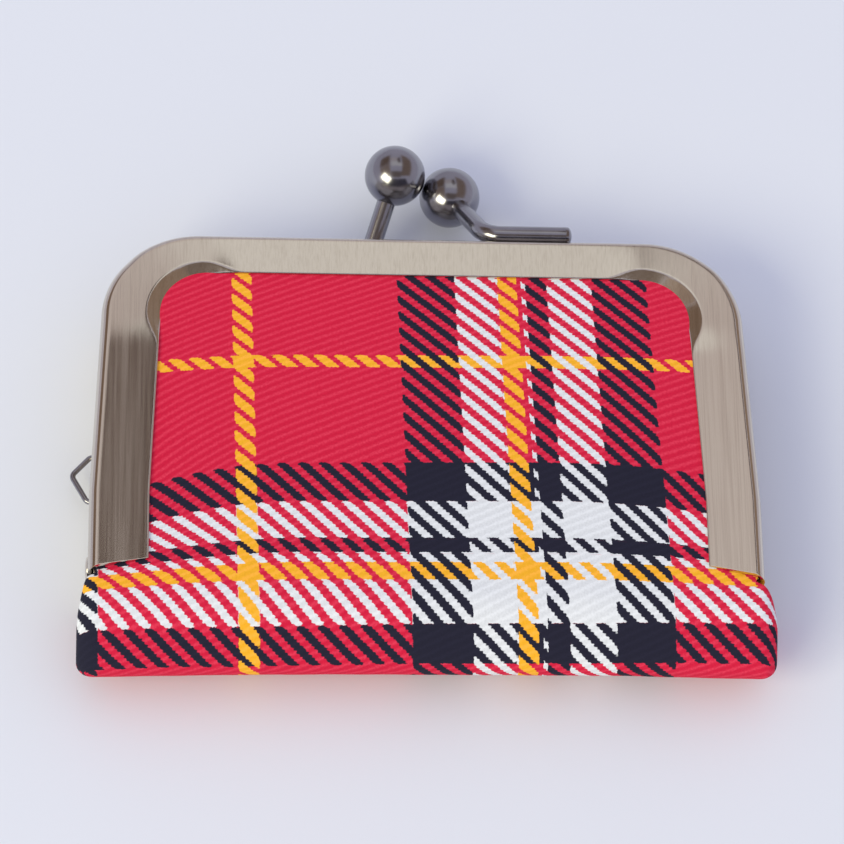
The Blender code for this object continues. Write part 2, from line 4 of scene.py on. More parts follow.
import bmesh
import bpy
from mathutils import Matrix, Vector
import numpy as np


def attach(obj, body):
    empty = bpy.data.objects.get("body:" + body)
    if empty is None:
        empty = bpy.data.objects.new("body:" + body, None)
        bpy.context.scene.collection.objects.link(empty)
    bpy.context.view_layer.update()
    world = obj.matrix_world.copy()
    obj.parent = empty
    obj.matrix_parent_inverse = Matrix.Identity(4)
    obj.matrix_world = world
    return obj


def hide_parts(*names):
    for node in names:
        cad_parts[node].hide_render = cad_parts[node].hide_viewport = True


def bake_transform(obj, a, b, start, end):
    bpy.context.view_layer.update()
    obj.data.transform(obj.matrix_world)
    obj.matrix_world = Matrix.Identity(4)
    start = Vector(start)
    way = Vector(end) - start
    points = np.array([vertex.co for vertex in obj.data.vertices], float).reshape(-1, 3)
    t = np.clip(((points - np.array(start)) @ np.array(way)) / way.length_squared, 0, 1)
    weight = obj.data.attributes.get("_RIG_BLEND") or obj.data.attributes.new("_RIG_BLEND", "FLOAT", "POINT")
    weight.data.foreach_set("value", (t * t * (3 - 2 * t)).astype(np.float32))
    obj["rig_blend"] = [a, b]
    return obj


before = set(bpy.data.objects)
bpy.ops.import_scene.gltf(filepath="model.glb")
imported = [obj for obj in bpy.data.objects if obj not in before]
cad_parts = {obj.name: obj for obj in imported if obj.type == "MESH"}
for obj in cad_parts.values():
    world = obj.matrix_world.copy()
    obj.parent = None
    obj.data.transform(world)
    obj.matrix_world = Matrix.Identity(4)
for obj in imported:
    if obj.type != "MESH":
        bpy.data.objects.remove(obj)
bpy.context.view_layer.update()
mm = 0.001


# Small helpers for colours, nodes and meshes

def toLinear(hexText):
    # sRGB hex to the linear values that the shader wants
    channels = []
    for start in (0, 2, 4):
        share = int(hexText.lstrip("#")[start:start + 2], 16) / 255
        channels.append(share / 12.92 if share <= 0.04045 else ((share + 0.055) / 1.055) ** 2.4)
    return (*channels, 1.0)


def setSockets(node, sockets):
    # a socket takes a value, or a link from another node's output
    for key, value in sockets.items():
        if isinstance(value, bpy.types.NodeSocket):
            node.id_data.links.new(value, node.inputs[key])
        else:
            node.inputs[key].default_value = value


def addNode(tree, kind, *values, sockets=None, out=0, **settings):
    # values go to the first sockets in order, sockets to others by name or place; out picks the output to give back,
    # or None the whole node
    node = tree.nodes.new(kind if "Node" in kind else "ShaderNode" + kind)
    for name, setting in settings.items():
        setattr(node, name, setting)
    setSockets(node, {**dict(enumerate(values)), **(sockets or {})})
    return node if out is None else node.outputs[out]


def newMaterial(name, sockets):
    # the material, its shader, and addNode for its tree
    made = bpy.data.materials.new(name)
    made.use_nodes = True
    shader = made.node_tree.nodes["Principled BSDF"]
    setSockets(shader, sockets)
    return made, shader, partial(addNode, made.node_tree)


def setStops(ramp, stops, interpolation="LINEAR"):
    # stops: (position, colour) in rising order; a colour is a hex text, a grey, or four values
    elements = ramp.color_ramp.elements
    ramp.color_ramp.interpolation = interpolation
    while len(elements) < len(stops):
        elements.new(1.0)
    for element, (position, colour) in zip(elements, stops):
        element.position = position
        if isinstance(colour, str):
            colour = toLinear(colour)
        element.color = colour if isinstance(colour, tuple) else (colour, colour, colour, 1.0)
    return ramp.outputs[0]


def placeObject(name, data):
    placed = bpy.data.objects.new(name, data)
    bpy.context.scene.collection.objects.link(placed)
    return placed


def tidyNormals(mesh, distance=1e-7):
    shape = bmesh.new()
    shape.from_mesh(mesh)
    bmesh.ops.remove_doubles(shape, verts=shape.verts, dist=distance)
    bmesh.ops.recalc_face_normals(shape, faces=shape.faces)
    shape.to_mesh(mesh)
    shape.free()


def pieceFrom(name, points, faces, material=None):
    # a mesh piece in metres, its doubles merged and its normals turned outwards
    mesh = bpy.data.meshes.new(name)
    mesh.from_pydata([tuple(p) for p in points], [], faces)
    tidyNormals(mesh)
    mesh.shade_smooth()
    if material:
        mesh.materials.append(material)
    return placeObject(name, mesh)


def turnOutwards(mesh, above):
    # faces over that height have to look up
    if sum(face.normal.z for face in mesh.polygons if face.center.z > above) < 0:
        mesh.flip_normals()


def applyModifiers(piece):
    # the evaluated result as the piece's own plain mesh
    bpy.context.view_layer.update()
    depsgraph = bpy.context.evaluated_depsgraph_get()
    result = bpy.data.meshes.new_from_object(piece.evaluated_get(depsgraph))
    piece.modifiers.clear()
    old = piece.data
    piece.data = result
    if old.users == 0:
        bpy.data.meshes.remove(old)
    result.name = piece.name


def cutWith(piece, cutter, operation="DIFFERENCE"):
    modifier = piece.modifiers.new("cut", "BOOLEAN")
    modifier.operation = operation
    modifier.solver = "EXACT"
    modifier.object = cutter
    applyModifiers(piece)
    bpy.data.objects.remove(cutter, do_unlink=True)


def thicken(piece, thickness):
    # a sheet's wall, grown inwards from its outer face
    wall = piece.modifiers.new("cloth", "SOLIDIFY")
    wall.thickness = thickness * mm
    wall.offset = -1.0
    applyModifiers(piece)
    piece.data.shade_smooth()


def lineOf(name, points, closed=False, **attributes):
    # a polyline that a node tree sweeps along, with one value for each point in each attribute
    mesh = bpy.data.meshes.new(name)
    edges = [(i, i + 1) for i in range(len(points) - 1)]
    if closed:
        edges.append((len(points) - 1, 0))
    mesh.from_pydata([tuple(p) for p in points], edges, [])
    for key, values in attributes.items():
        isVector = hasattr(values[0], "__len__")
        attribute = mesh.attributes.new(key, "FLOAT_VECTOR" if isVector else "FLOAT", "POINT")
        for entry, value in zip(attribute.data, values):
            setattr(entry, "vector" if isVector else "value", value)
    return placeObject(name, mesh)


def arcOf(centre, radius, start, end, steps):
    turn = [start + (end - start) * k / steps for k in range(steps + 1)]
    return [(centre[0] + radius * cos(a), centre[1] + radius * sin(a)) for a in turn]


def circleOf(centre, radius, steps):
    return arcOf(centre, radius, 0, 2 * pi, steps)[:-1]


def addQuad(faces, corners, forward):
    faces.append(tuple(corners if forward else corners[::-1]))


def smoothStep(share):
    share = min(1.0, max(0.0, share))
    return share * share * (3 - 2 * share)


def readAt(table, at):
    # straight-line reading of a table of (place, value) pairs
    low, high = 0, len(table) - 1
    while high - low > 1:
        middle = (low + high) // 2
        low, high = (middle, high) if table[middle][0] <= at else (low, middle)
    (a, first), (b, second) = table[low], table[high]
    return first + (second - first) * (at - a) / (b - a)


# Camera, at the photograph's angle

cameraSet = {"azimuth": -6.51, "elevation": 60.0, "roll": 6.548, "distance": 583.5, "lens": 213.27, "sensor": 36.0,
             "target": (-0.396, -5.648, 12.0), "nearest": 0.01, "farthest": 20.0}


def placeCamera(s):
    azimuth, elevation, roll = (radians(s[key]) for key in ("azimuth", "elevation", "roll"))
    back = Vector((sin(azimuth) * cos(elevation), -cos(azimuth) * cos(elevation), sin(elevation)))
    right = Vector((cos(azimuth), sin(azimuth), 0))
    up = back.cross(right)
    columns = (right * cos(roll) + up * sin(roll), up * cos(roll) - right * sin(roll), back,
               Vector(s["target"]) * mm + back * s["distance"] * mm)
    camera = placeObject("camera", bpy.data.cameras.new("camera"))
    camera.data.lens = s["lens"]
    camera.data.sensor_width = s["sensor"]
    camera.data.clip_start = s["nearest"]
    camera.data.clip_end = s["farthest"]
    matrix = camera.matrix_world.copy()
    for row in range(3):
        for column in range(4):
            matrix[row][column] = columns[column][row]
    camera.matrix_world = matrix
    bpy.context.scene.camera = camera


placeCamera(cameraSet)
print("camera placed")


# Sizes shared by the frame, the cloth and the clasp, in mm as in the solids

pouch = {"armEndY": -25.625, "height": 45.42, "midZ": 6.0, "armHalf": 39.0, "topHalf": 38.0, "straightArm": 10.5,
         "hingeY": -22.625, "sheet": 0.6}


# Satin champagne nickel on pressed sheet: a soft mirror, brushed up and down, with fine streaks and a warm cast

satinSet = {"base": "#D8D0C4", "dark": "#C8BFB3", "roughness": 0.15, "smoother": 0.02, "rougher": 0.03,
            "streakWidthMm": 0.16, "streakLengthMm": 14.0, "bandWidthMm": 0.5, "bandLengthMm": 20.0,
            "streakShare": 0.6, "reliefMm": 0.03}


def satinNickel(s):
    made, shader, add = newMaterial("satinChampagneNickel", {"Metallic": 1.0})
    place = add("TexCoord", out="Object")

    def brushed(widthMm, lengthMm, detail, roughness):
        # noise drawn out along the brushing
        scale = (1 / (widthMm * mm), 1 / (lengthMm * mm), 1 / (widthMm * mm))
        drawn = add("Mapping", place, sockets={"Scale": scale})
        return add("TexNoise", drawn, sockets={"Scale": 1.0, "Detail": detail, "Roughness": roughness})

    streaks = brushed(s["streakWidthMm"], s["streakLengthMm"], 3.0, 0.6)
    bands = brushed(s["bandWidthMm"], s["bandLengthMm"], 2.0, 0.5)
    both = add("Math", bands, 1 - s["streakShare"], operation="MULTIPLY")
    both = add("Math", streaks, s["streakShare"], both, operation="MULTIPLY_ADD")
    setSockets(shader, {
        "Base Color": setStops(add("ValToRGB", both, out=None), [(0.30, s["dark"]), (0.55, s["base"])]),
        "Roughness": add("MapRange", bands, 0.3, 0.7, s["roughness"] - s["smoother"], s["roughness"] + s["rougher"]),
        "Normal": add("Bump", sockets={"Strength": 0.05, "Distance": s["reliefMm"] * mm, "Height": both})})
    return made


# Polished black nickel: a dark mirror with faint handling marks

polishedSet = {"base": "#9B9AA1", "dark": "#8F8E94", "roughness": 0.19, "smoother": 0.02, "rougher": 0.05,
               "smudgeMm": 3.0}


def polishedBlackNickel(s):
    made, shader, add = newMaterial("polishedBlackNickel", {"Metallic": 1.0})
    place = add("TexCoord", out="Object")
    smudges = add("TexNoise", place, sockets={"Scale": 1 / (s["smudgeMm"] * mm), "Detail": 4.0})
    setSockets(shader, {
        "Base Color": setStops(add("ValToRGB", smudges, out=None), [(0.3, s["dark"]), (0.7, s["base"])]),
        "Roughness": add("MapRange", smudges, 0.35, 0.7, s["roughness"] - s["smoother"],
                         s["roughness"] + s["rougher"])})
    return made


# Printed cotton with fine diagonal ribs: a tartan whose crossings are drawn as broad twill strokes

tartanSet = {
    # the pink bloom colour is a painted sheen on the crowns of red ribs
    "red": "#D91E3F", "black": "#252433", "yellow": "#FDB62A", "white": "#E4E5E2", "paintedCrownSheen": "#FF8FA2",
    "roughness": 0.82, "paintedSheenShare": 0.26, "darkest": 0.89, "lightest": 1.09, "specksPerMm": 4.0,
    # how far specks lighten the cloth and the painted highlight on rib crowns lightens it, and how high specks stand
    # beside the ribs
    "speckTone": 1.2, "crownPaintedLight": 0.6, "toneShift": -0.35, "speckHeight": 0.35, "reliefMm": 0.05,
    # how wide each colour's strokes are drawn past half of the pitch, in mm
    "widerMm": {"red": -0.5, "black": 0.03, "yellow": 0.11, "white": -0.02},
    "strokePitchMm": 2.45, "strokePhase": 0.146, "strokeRoundingMm": 0.4, "edgeSoftMm": 0.06, "reachMm": 0.9,
    "ribPitchMm": 0.902, "ribSlope": 23.1, "ribWobble": 0.42, "slubsAlong": 1.4, "slubsAcross": 2.4,
    "crownPower": 1.8, "beadMm": 0.06, "raggedMm": 0.06, "raggedGrainMm": 0.35,
    # across the cloth, from the left: where each stripe starts, in mm, and its colour
    "acrossStart": -38.1, "acrossRepeat": 65.7,
    "across": [(-38.1, "red"), (-22.21, "yellow"), (-19.77, "red"), (-2.45, "black"), (4.42, "white"),
               (9.42, "yellow"), (11.86, "red"), (12.26, "white"), (12.8, "black"), (15.5, "white"),
               (20.87, "black")],
    # along the cloth, from low on the back up the front
    "alongStart": -21.93, "alongRepeat": 50.86,
    "along": [(-21.93, "red"), (-9.1, "black"), (-4.66, "white"), (-0.34, "yellow"), (1.56, "white"), (2.72, "black"),
              (4.53, "white"), (9.24, "black"), (14.18, "red"), (27.01, "yellow")],
}


def stripeLookup(add, coordinate, way, s):
    # colour of a stripe, how much wider its strokes are, and how deep a point lies inside it
    start, repeat, stripes, reach = s[way + "Start"], s[way + "Repeat"], s[way], s["reachMm"]
    share = add("Math", add("Math", coordinate, start, operation="SUBTRACT"), repeat, operation="DIVIDE")
    share = add("Math", share, operation="FRACT")
    printed = add("ValToRGB", share, out=None)
    setStops(printed, [(max(0.0, (place - start) / repeat), (*toLinear(s[word])[:3], 0.5 + s["widerMm"][word]))
                       for place, word in stripes], "CONSTANT")
    kinks = []
    for index, (place, word) in enumerate(stripes):
        following = stripes[index + 1][0] if index + 1 < len(stripes) else start + repeat
        if word != "red" or following - place < 1:
            middle = min(reach, (following - place) / 2)
            kinks += [(place, 0.0), (place + middle, middle)]
            if following - place > 2 * middle:
                kinks.append((following - middle, middle))
        else:
            kinks += [(place, 0.0), (place + reach, -reach), (following - reach, -reach)]
    # a ramp holds 0 to 1, so the depth is kept there as a share of the reach on both sides
    depths = [((place - start) / repeat, 0.5 + depth / (2 * reach)) for place, depth in kinks]
    depthShare = setStops(add("ValToRGB", share, out=None), sorted(depths + [(1.0, 0.5)]))
    depth = add("Math", add("Math", depthShare, 0.5, operation="SUBTRACT"), 2 * reach, operation="MULTIPLY")
    return printed.outputs[0], add("Math", printed.outputs[1], 0.5, operation="SUBTRACT"), depth


def roundedBoth(add, depths, radius):
    # above zero where both depths are, with the corners rounded off
    squares = []
    for depth in depths:
        missing = add("Math", add("Math", radius, depth, operation="SUBTRACT"), 0.0, operation="MAXIMUM")
        squares.append(add("Math", missing, missing, operation="MULTIPLY"))
    distance = add("Math", add("Math", *squares, operation="ADD"), operation="SQRT")
    return add("Math", radius, distance, operation="SUBTRACT")


def tartanCotton(s):
    made, shader, add = newMaterial("printedTartanCotton", {
        "Roughness": s["roughness"], "Sheen Weight": 0.02, "Sheen Roughness": 0.5, "Specular IOR Level": 0.12})
    cloth = add("UVMap", uv_map="clothMm")
    # ragged print edges come from a small shift of the pattern
    grain = add("TexNoise", cloth, sockets={"Scale": 1 / s["raggedGrainMm"], "Detail": 2.0, "Roughness": 0.6}, out=1,
                noise_dimensions="2D")
    centred = add("VectorMath", grain, (0.5, 0.5, 0.5), operation="SUBTRACT")
    shift = add("VectorMath", centred, sockets={"Scale": 4 * s["raggedMm"]}, operation="SCALE")
    moved = add("VectorMath", cloth, shift, operation="ADD")
    across, along = add("SeparateXYZ", moved, out=None).outputs[:2]
    # fine ribs of the woven cotton, which vary in height along their length
    slope, pitch = radians(s["ribSlope"]), s["ribPitchMm"]
    onRib = add("VectorMath", cloth, (-sin(slope) / pitch, cos(slope) / pitch, 0), out=1, operation="DOT_PRODUCT")
    alongRib = add("VectorMath", cloth, (cos(slope), sin(slope), 0), out=1, operation="DOT_PRODUCT")
    ribPlace = add("CombineXYZ", add("Math", alongRib, s["slubsAlong"], operation="MULTIPLY"),
                   add("Math", onRib, s["slubsAcross"], operation="MULTIPLY"))
    slub = add("TexNoise", ribPlace, sockets={"Scale": 1.0, "Detail": 3.0, "Roughness": 0.65}, noise_dimensions="2D")
    uneven = add("Math", slub, 0.5, operation="SUBTRACT")
    wavy = add("Math", uneven, s["ribWobble"], onRib, operation="MULTIPLY_ADD")
    wave = add("Math", add("Math", wavy, 2 * pi, operation="MULTIPLY"), operation="SINE")
    rib = add("Math", wave, 0.5, 0.5, operation="MULTIPLY_ADD")
    crown = add("Math", rib, s["crownPower"], operation="POWER")
    beadWave = add("Math", add("Math", wavy, 4 * pi, operation="MULTIPLY"), operation="SINE")
    beads = add("Math", beadWave, s["beadMm"], operation="MULTIPLY")
    # broad strokes that imitate a twill, down to the right
    turned = add("Math", add("Math", across, along, operation="ADD"), s["strokePitchMm"], operation="DIVIDE")
    phase = add("Math", add("Math", turned, s["strokePhase"], operation="ADD"), operation="FRACT")
    off = add("Math", add("Math", phase, 0.5, operation="SUBTRACT"), operation="ABSOLUTE")
    stroke = add("Math", add("Math", 0.25, off, operation="SUBTRACT"), s["strokePitchMm"] / sqrt(2),
                 operation="MULTIPLY")
    acrossColour, acrossWider, acrossDepth = stripeLookup(add, across, "across", s)
    alongColour, alongWider, alongDepth = stripeLookup(add, along, "along", s)
    over = add("Math", add("Math", stroke, beads, operation="ADD"), acrossWider, operation="ADD")
    under = add("Math", add("Math", beads, stroke, operation="SUBTRACT"), alongWider, operation="ADD")
    edges = [roundedBoth(add, (acrossDepth, over), s["strokeRoundingMm"]),
             roundedBoth(add, (alongDepth, under), s["strokeRoundingMm"]),
             add("Math", acrossDepth, alongDepth, operation="MINIMUM")]
    soft = s["edgeSoftMm"]
    upright, level, crossing = (add("MapRange", depth, -soft, soft, interpolation_type="SMOOTHSTEP")
                                for depth in edges)
    # where two coloured stripes cross, no ground shows between their strokes
    covered = add("Math", level, crossing, operation="MAXIMUM")
    mixed = add("Mix", covered, sockets={6: toLinear(s["red"]), 7: alongColour}, out=2, data_type="RGBA")
    mixed = add("Mix", upright, sockets={6: mixed, 7: acrossColour}, out=2, data_type="RGBA")
    # painted light and shade of the ribs: their crowns are painted lighter and the valleys between darker, mixed with
    # random specks
    speck = add("TexNoise", cloth, sockets={"Scale": s["specksPerMm"], "Detail": 2.0}, noise_dimensions="2D")
    ribLightAndSpecks = add("Math", crown, s["crownPaintedLight"], s["toneShift"], operation="MULTIPLY_ADD")
    ribLightAndSpecks = add("Math", speck, s["speckTone"], ribLightAndSpecks, operation="MULTIPLY_ADD")
    tone = add("MapRange", ribLightAndSpecks, 0.0, 1.0, s["darkest"], s["lightest"])
    toned = add("VectorMath", mixed, sockets={"Scale": tone}, operation="SCALE")
    # pink painted sheen on the rib crowns of red strokes, broken up by specks
    redPart, greenPart = add("SeparateColor", mixed, out=None).outputs[:2]
    redness = add("Math", redPart, greenPart, operation="SUBTRACT")
    sheenMask = add("Math", crown, speck, operation="MULTIPLY")
    paintedCrownSheen = add("Math", sheenMask, add("Math", redness, s["paintedSheenShare"], operation="MULTIPLY"), operation="MULTIPLY")
    height = add("Math", speck, s["speckHeight"], rib, operation="MULTIPLY_ADD")
    setSockets(shader, {
        "Base Color": add("Mix", paintedCrownSheen, sockets={6: toned, 7: toLinear(s["paintedCrownSheen"])}, out=2, data_type="RGBA"),
        "Normal": add("Bump", sockets={"Strength": 0.3, "Distance": s["reliefMm"] * mm, "Height": height})})
    return made


# Plain woven black cotton: soft and dull, its threads drawn twice as coarse as they are so that they show

liningSet = {"base": "#19181B", "light": "#2B292E", "threadMm": 0.5, "reliefMm": 0.08}


def blackCotton(s):
    made, shader, add = newMaterial("plainBlackCotton", {"Roughness": 0.9, "Sheen Weight": 0.3})
    x, y, z = add("SeparateXYZ", add("TexCoord", out="Object"), out=None).outputs
    # warp across the bag, and weft down its front and round its bottom
    threads = []
    for place in (x, add("Math", y, z, operation="ADD")):
        turns = add("Math", place, 2 * pi / (s["threadMm"] * mm), operation="MULTIPLY")
        threads.append(add("Math", turns, operation="SINE"))
    weave = add("Math", add("Math", *threads, operation="MULTIPLY"), 0.5, 0.5, operation="MULTIPLY_ADD")
    setSockets(shader, {
        "Base Color": setStops(add("ValToRGB", weave, out=None), [(0.2, s["base"]), (0.9, s["light"])]),
        "Normal": add("Bump", sockets={"Strength": 0.4, "Distance": s["reliefMm"] * mm, "Height": weave})})
    return made


# Grey board is pressed waste paper with short fibres and specks; kraft paper twine is brown and matt

boardSet = {"stops": [(0.34, "#7E7870"), (0.5, "#A29C93"), (0.75, "#B7B1A8")], "fibreMm": 0.7, "stretch": 2.6,
            "detail": 6.0, "fibreRoughness": 0.7, "roughness": 0.88, "bumpStrength": 0.3, "reliefMm": 0.05}
paperSet = {"stops": [(0.35, "#8C6B43"), (0.65, "#B08D60")], "fibreMm": 0.35, "stretch": 1.0,
            "detail": 5.0, "fibreRoughness": 0.5, "roughness": 0.8, "bumpStrength": 0.4, "reliefMm": 0.06}


def fibrousPaper(name, s):
    made, shader, add = newMaterial(name, {"Roughness": s["roughness"]})
    place = add("Mapping", add("TexCoord", out="Object"), sockets={"Scale": (1.0, s["stretch"], 1.0)})
    fibres = add("TexNoise", place, sockets={"Scale": 1 / (s["fibreMm"] * mm), "Detail": s["detail"],
                                             "Roughness": s["fibreRoughness"]})
    setSockets(shader, {
        "Base Color": setStops(add("ValToRGB", fibres, out=None), s["stops"]),
        "Normal": add("Bump", sockets={"Strength": s["bumpStrength"], "Distance": s["reliefMm"] * mm,
                                       "Height": fibres})})
    return made


satin = satinNickel(satinSet)
polished = polishedBlackNickel(polishedSet)
tartan = tartanCotton(tartanSet)
lining = blackCotton(liningSet)
board = fibrousPaper("pressedGreyBoard", boardSet)
paper = fibrousPaper("twistedKraftPaper", paperSet)
print("materials made")


# Node trees for what follows a path

def newTree(name, sockets):
    # the tree, what comes in at each of its named inputs, and addNode for it
    tree = bpy.data.node_groups.new(name, "GeometryNodeTree")
    tree.interface.new_socket(name="Geometry", in_out="OUTPUT", socket_type="NodeSocketGeometry")
    for label, kind, value in [("Geometry", "Geometry", None)] + sockets:
        socket = tree.interface.new_socket(name=label, in_out="INPUT", socket_type="NodeSocket" + kind)
        if value is not None:
            socket.default_value = value
    add = partial(addNode, tree)
    return tree, add("NodeGroupInput", out=None).outputs, add


def sweepSection(add, entry, path, scale=1.0):
    # the section's outline swept along a path, with its ends closed
    cutout = add("GeometryNodeObjectInfo", sockets={"Object": entry["Section"]}, out="Geometry")
    return add("GeometryNodeCurveToMesh", sockets={
        "Curve": path, "Profile Curve": add("GeometryNodeMeshToCurve", cutout), "Scale": scale, "Fill Caps": True})


def endTree(add, entry, geometry):
    solid = add("GeometryNodeRealizeInstances", geometry)
    dressed = add("GeometryNodeSetMaterial", sockets={"Geometry": solid, "Material": entry["Material"]})
    add("NodeGroupOutput", dressed, out=None)


def runTree(piece, tree, values):
    # sets each named input by its socket's identifier, then keeps the plain mesh that comes out
    modifier = piece.modifiers.new(tree.name, "NODES")
    modifier.node_group = tree
    for item in tree.interface.items_tree:
        if item.item_type == "SOCKET" and item.in_out == "INPUT" and item.name in values:
            modifier[item.identifier] = values[item.name]
    applyModifiers(piece)
    for attribute in list(piece.data.attributes):
        if attribute.name in ("place", "across", "inset", "height", "easing", "corner", "lip", "thick"):
            piece.data.attributes.remove(attribute)
    tidyNormals(piece.data)
    piece.data.shade_smooth()


def channelTree():
    # a pressed channel: one section swept along the frame's outline, its lip shaped as it goes
    tree, entry, add = newTree("pressedChannel", [
        ("Section", "Object", None), ("Material", "Material", None), ("Mid Plane", "Float", 0.006),
        ("Side", "Float", 1.0), ("Lip Fall", "Float", 0.0003), ("Lip Width", "Float", 0.0067),
        ("Corner Lean", "Float", 0.5), ("Corner Bevel Width", "Float", 0.0016),
        ("Corner Bevel Fall", "Float", 0.0004)])
    swept = sweepSection(add, entry, add("GeometryNodeMeshToCurve", entry["Geometry"]))
    place, across = (add("GeometryNodeInputNamedAttribute", name, data_type="FLOAT_VECTOR")
                     for name in ("place", "across"))
    inset, height, easing, corner, lip = (add("GeometryNodeInputNamedAttribute", name, data_type="FLOAT")
                                          for name in ("inset", "height", "easing", "corner", "lip"))
    inward = add("VectorMath", across, sockets={"Scale": inset}, operation="SCALE")
    flat = add("VectorMath", place, inward, operation="ADD")
    # the lip leans in, less in the corners, where its edge is pressed down in a crescent
    lost = add("Math", corner, add("Math", 1.0, entry["Corner Lean"], operation="SUBTRACT"), operation="MULTIPLY")
    leaning = add("Math", easing, add("Math", 1.0, lost, operation="SUBTRACT"), operation="MULTIPLY")
    fall = add("Math", leaning, entry["Lip Fall"], operation="MULTIPLY")
    width = entry["Corner Bevel Width"]
    crease = add("Math", entry["Lip Width"], add("Math", corner, width, operation="MULTIPLY"), operation="SUBTRACT")
    past = add("Math", add("Math", inset, crease, operation="SUBTRACT"), 0.0, operation="MAXIMUM")
    pressed = add("Math", add("Math", past, width, operation="DIVIDE"), lip, operation="MULTIPLY")
    bevel = add("Math", pressed, entry["Corner Bevel Fall"], operation="MULTIPLY")
    raised = add("Math", add("Math", height, fall, operation="SUBTRACT"), bevel, operation="SUBTRACT")
    depth = add("Math", raised, entry["Side"], entry["Mid Plane"], operation="MULTIPLY_ADD")
    position = add("VectorMath", flat, add("CombineXYZ", sockets={"Z": depth}), operation="ADD")
    placed = add("GeometryNodeSetPosition", sockets={"Geometry": swept, "Position": position})
    endTree(add, entry, placed)
    return tree


def wireTree():
    # a wire or cord: a section swept along a route, twisted if it has plies
    tree, entry, add = newTree("sweptWire", [
        ("Section", "Object", None), ("Material", "Material", None), ("Turns", "Float", 0.0)])
    path = add("GeometryNodeMeshToCurve", entry["Geometry"])
    thick = add("GeometryNodeInputNamedAttribute", "thick", data_type="FLOAT")
    sized = add("GeometryNodeSetCurveRadius", sockets={"Curve": path, "Radius": thick})
    share = add("GeometryNodeSplineParameter", out="Factor")
    tilt = add("Math", add("Math", share, entry["Turns"], operation="MULTIPLY"), 2 * pi, operation="MULTIPLY")
    tilted = add("GeometryNodeSetCurveTilt", sockets={"Curve": sized, "Tilt": tilt})
    endTree(add, entry, sweepSection(add, entry, tilted, thick))
    return tree


channel = channelTree()
wire = wireTree()


# The two pressed frame halves

frameSet = {
    "cornerRadius": 11.5, "innerCornerRadius": 5.6, "topLip": 5.07, "sideLip": 6.7, "innerLipSetback": 0.8,
    "edgeRadius": 1.1, "halvesGap": 0.1, "lipFall": 0.55, "cornerLean": 0.5, "leanFrom": 0.9, "undersideLean": 0.7,
    "bevelWidth": 1.6, "cornerBevelFall": 0.66, "undersideFall": 0.36, "bevelFadeRows": 8,
    "chamferDepth": 0.1, "lipChamfer": 0.03, "innerLipChamfer": 0.06,
    # the arms' cut is rounded up where it meets the side wall
    "cutSlope": 13.0, "cutLift": 0.3, "cutLiftWidth": 1.3, "cutLiftHeight": 8.0,
    # the opening is pressed a little off centre
    "openingShift": 0.27, "shiftOver": 4.0, "shiftFrom": 2.0, "shiftWidth": 4.0,
    "earRadius": 2.9, "earGap": 0.1, "earSwingGap": 0.3, "earTail": 2.0, "rivetRadius": 0.75, "rivetHoleGap": 0.1,
    "overrun": 1.0, "brokenEdge": 0.07, "brokenAngle": 62.0, "sharpAngle": 40.0}

loopSet = {"wireRadius": 0.33, "spread": 6.0, "reach": 2.5, "rise": 16.8, "tipLift": 0.5, "depthFromBack": 2.6,
           "bendRadius": 0.8, "standoff": 0.45, "endInside": 0.15, "holeGap": 0.05, "holeDepth": 1.4,
           "bendSteps": 10}


def wallHalf(rise):
    # half width of the frame at a height over the arms' ends
    lean = (pouch["armHalf"] - pouch["topHalf"]) / (pouch["height"] - frameSet["cornerRadius"] - pouch["straightArm"])
    return pouch["armHalf"] - lean * max(0.0, rise - pouch["straightArm"])


def outlineHalf(inset, topInset, radius, endY, cornerSteps=30):
    # right half of the frame's outline at an inset, from the arm's end up to the middle of the top
    top = pouch["armEndY"] + pouch["height"] - topInset
    straightY = pouch["armEndY"] + pouch["straightArm"]
    cornerY = top - radius
    cornerX = wallHalf(cornerY - pouch["armEndY"]) - inset
    side = pouch["armHalf"] - inset
    armSteps, leanSteps, topSteps = 9, 40, 48
    # the second row lies close to the end, so that the cut stays crisp
    rises = [0.0, 0.01] + [k / (armSteps - 1) for k in range(1, armSteps - 1)]
    points = [(side, endY + (straightY - endY) * rise) for rise in rises]
    points += [(side + (cornerX - side) * k / leanSteps, straightY + (cornerY - straightY) * k / leanSteps)
               for k in range(leanSteps)]
    points += arcOf((cornerX - radius, cornerY), radius, 0, pi / 2, cornerSteps)
    points += [((cornerX - radius) * (1 - k / topSteps), top) for k in range(1, topSteps)]
    corner = [0.0] * (armSteps + leanSteps) + [1.0] * (cornerSteps + 1) + [0.0] * (topSteps - 1)
    return points, corner


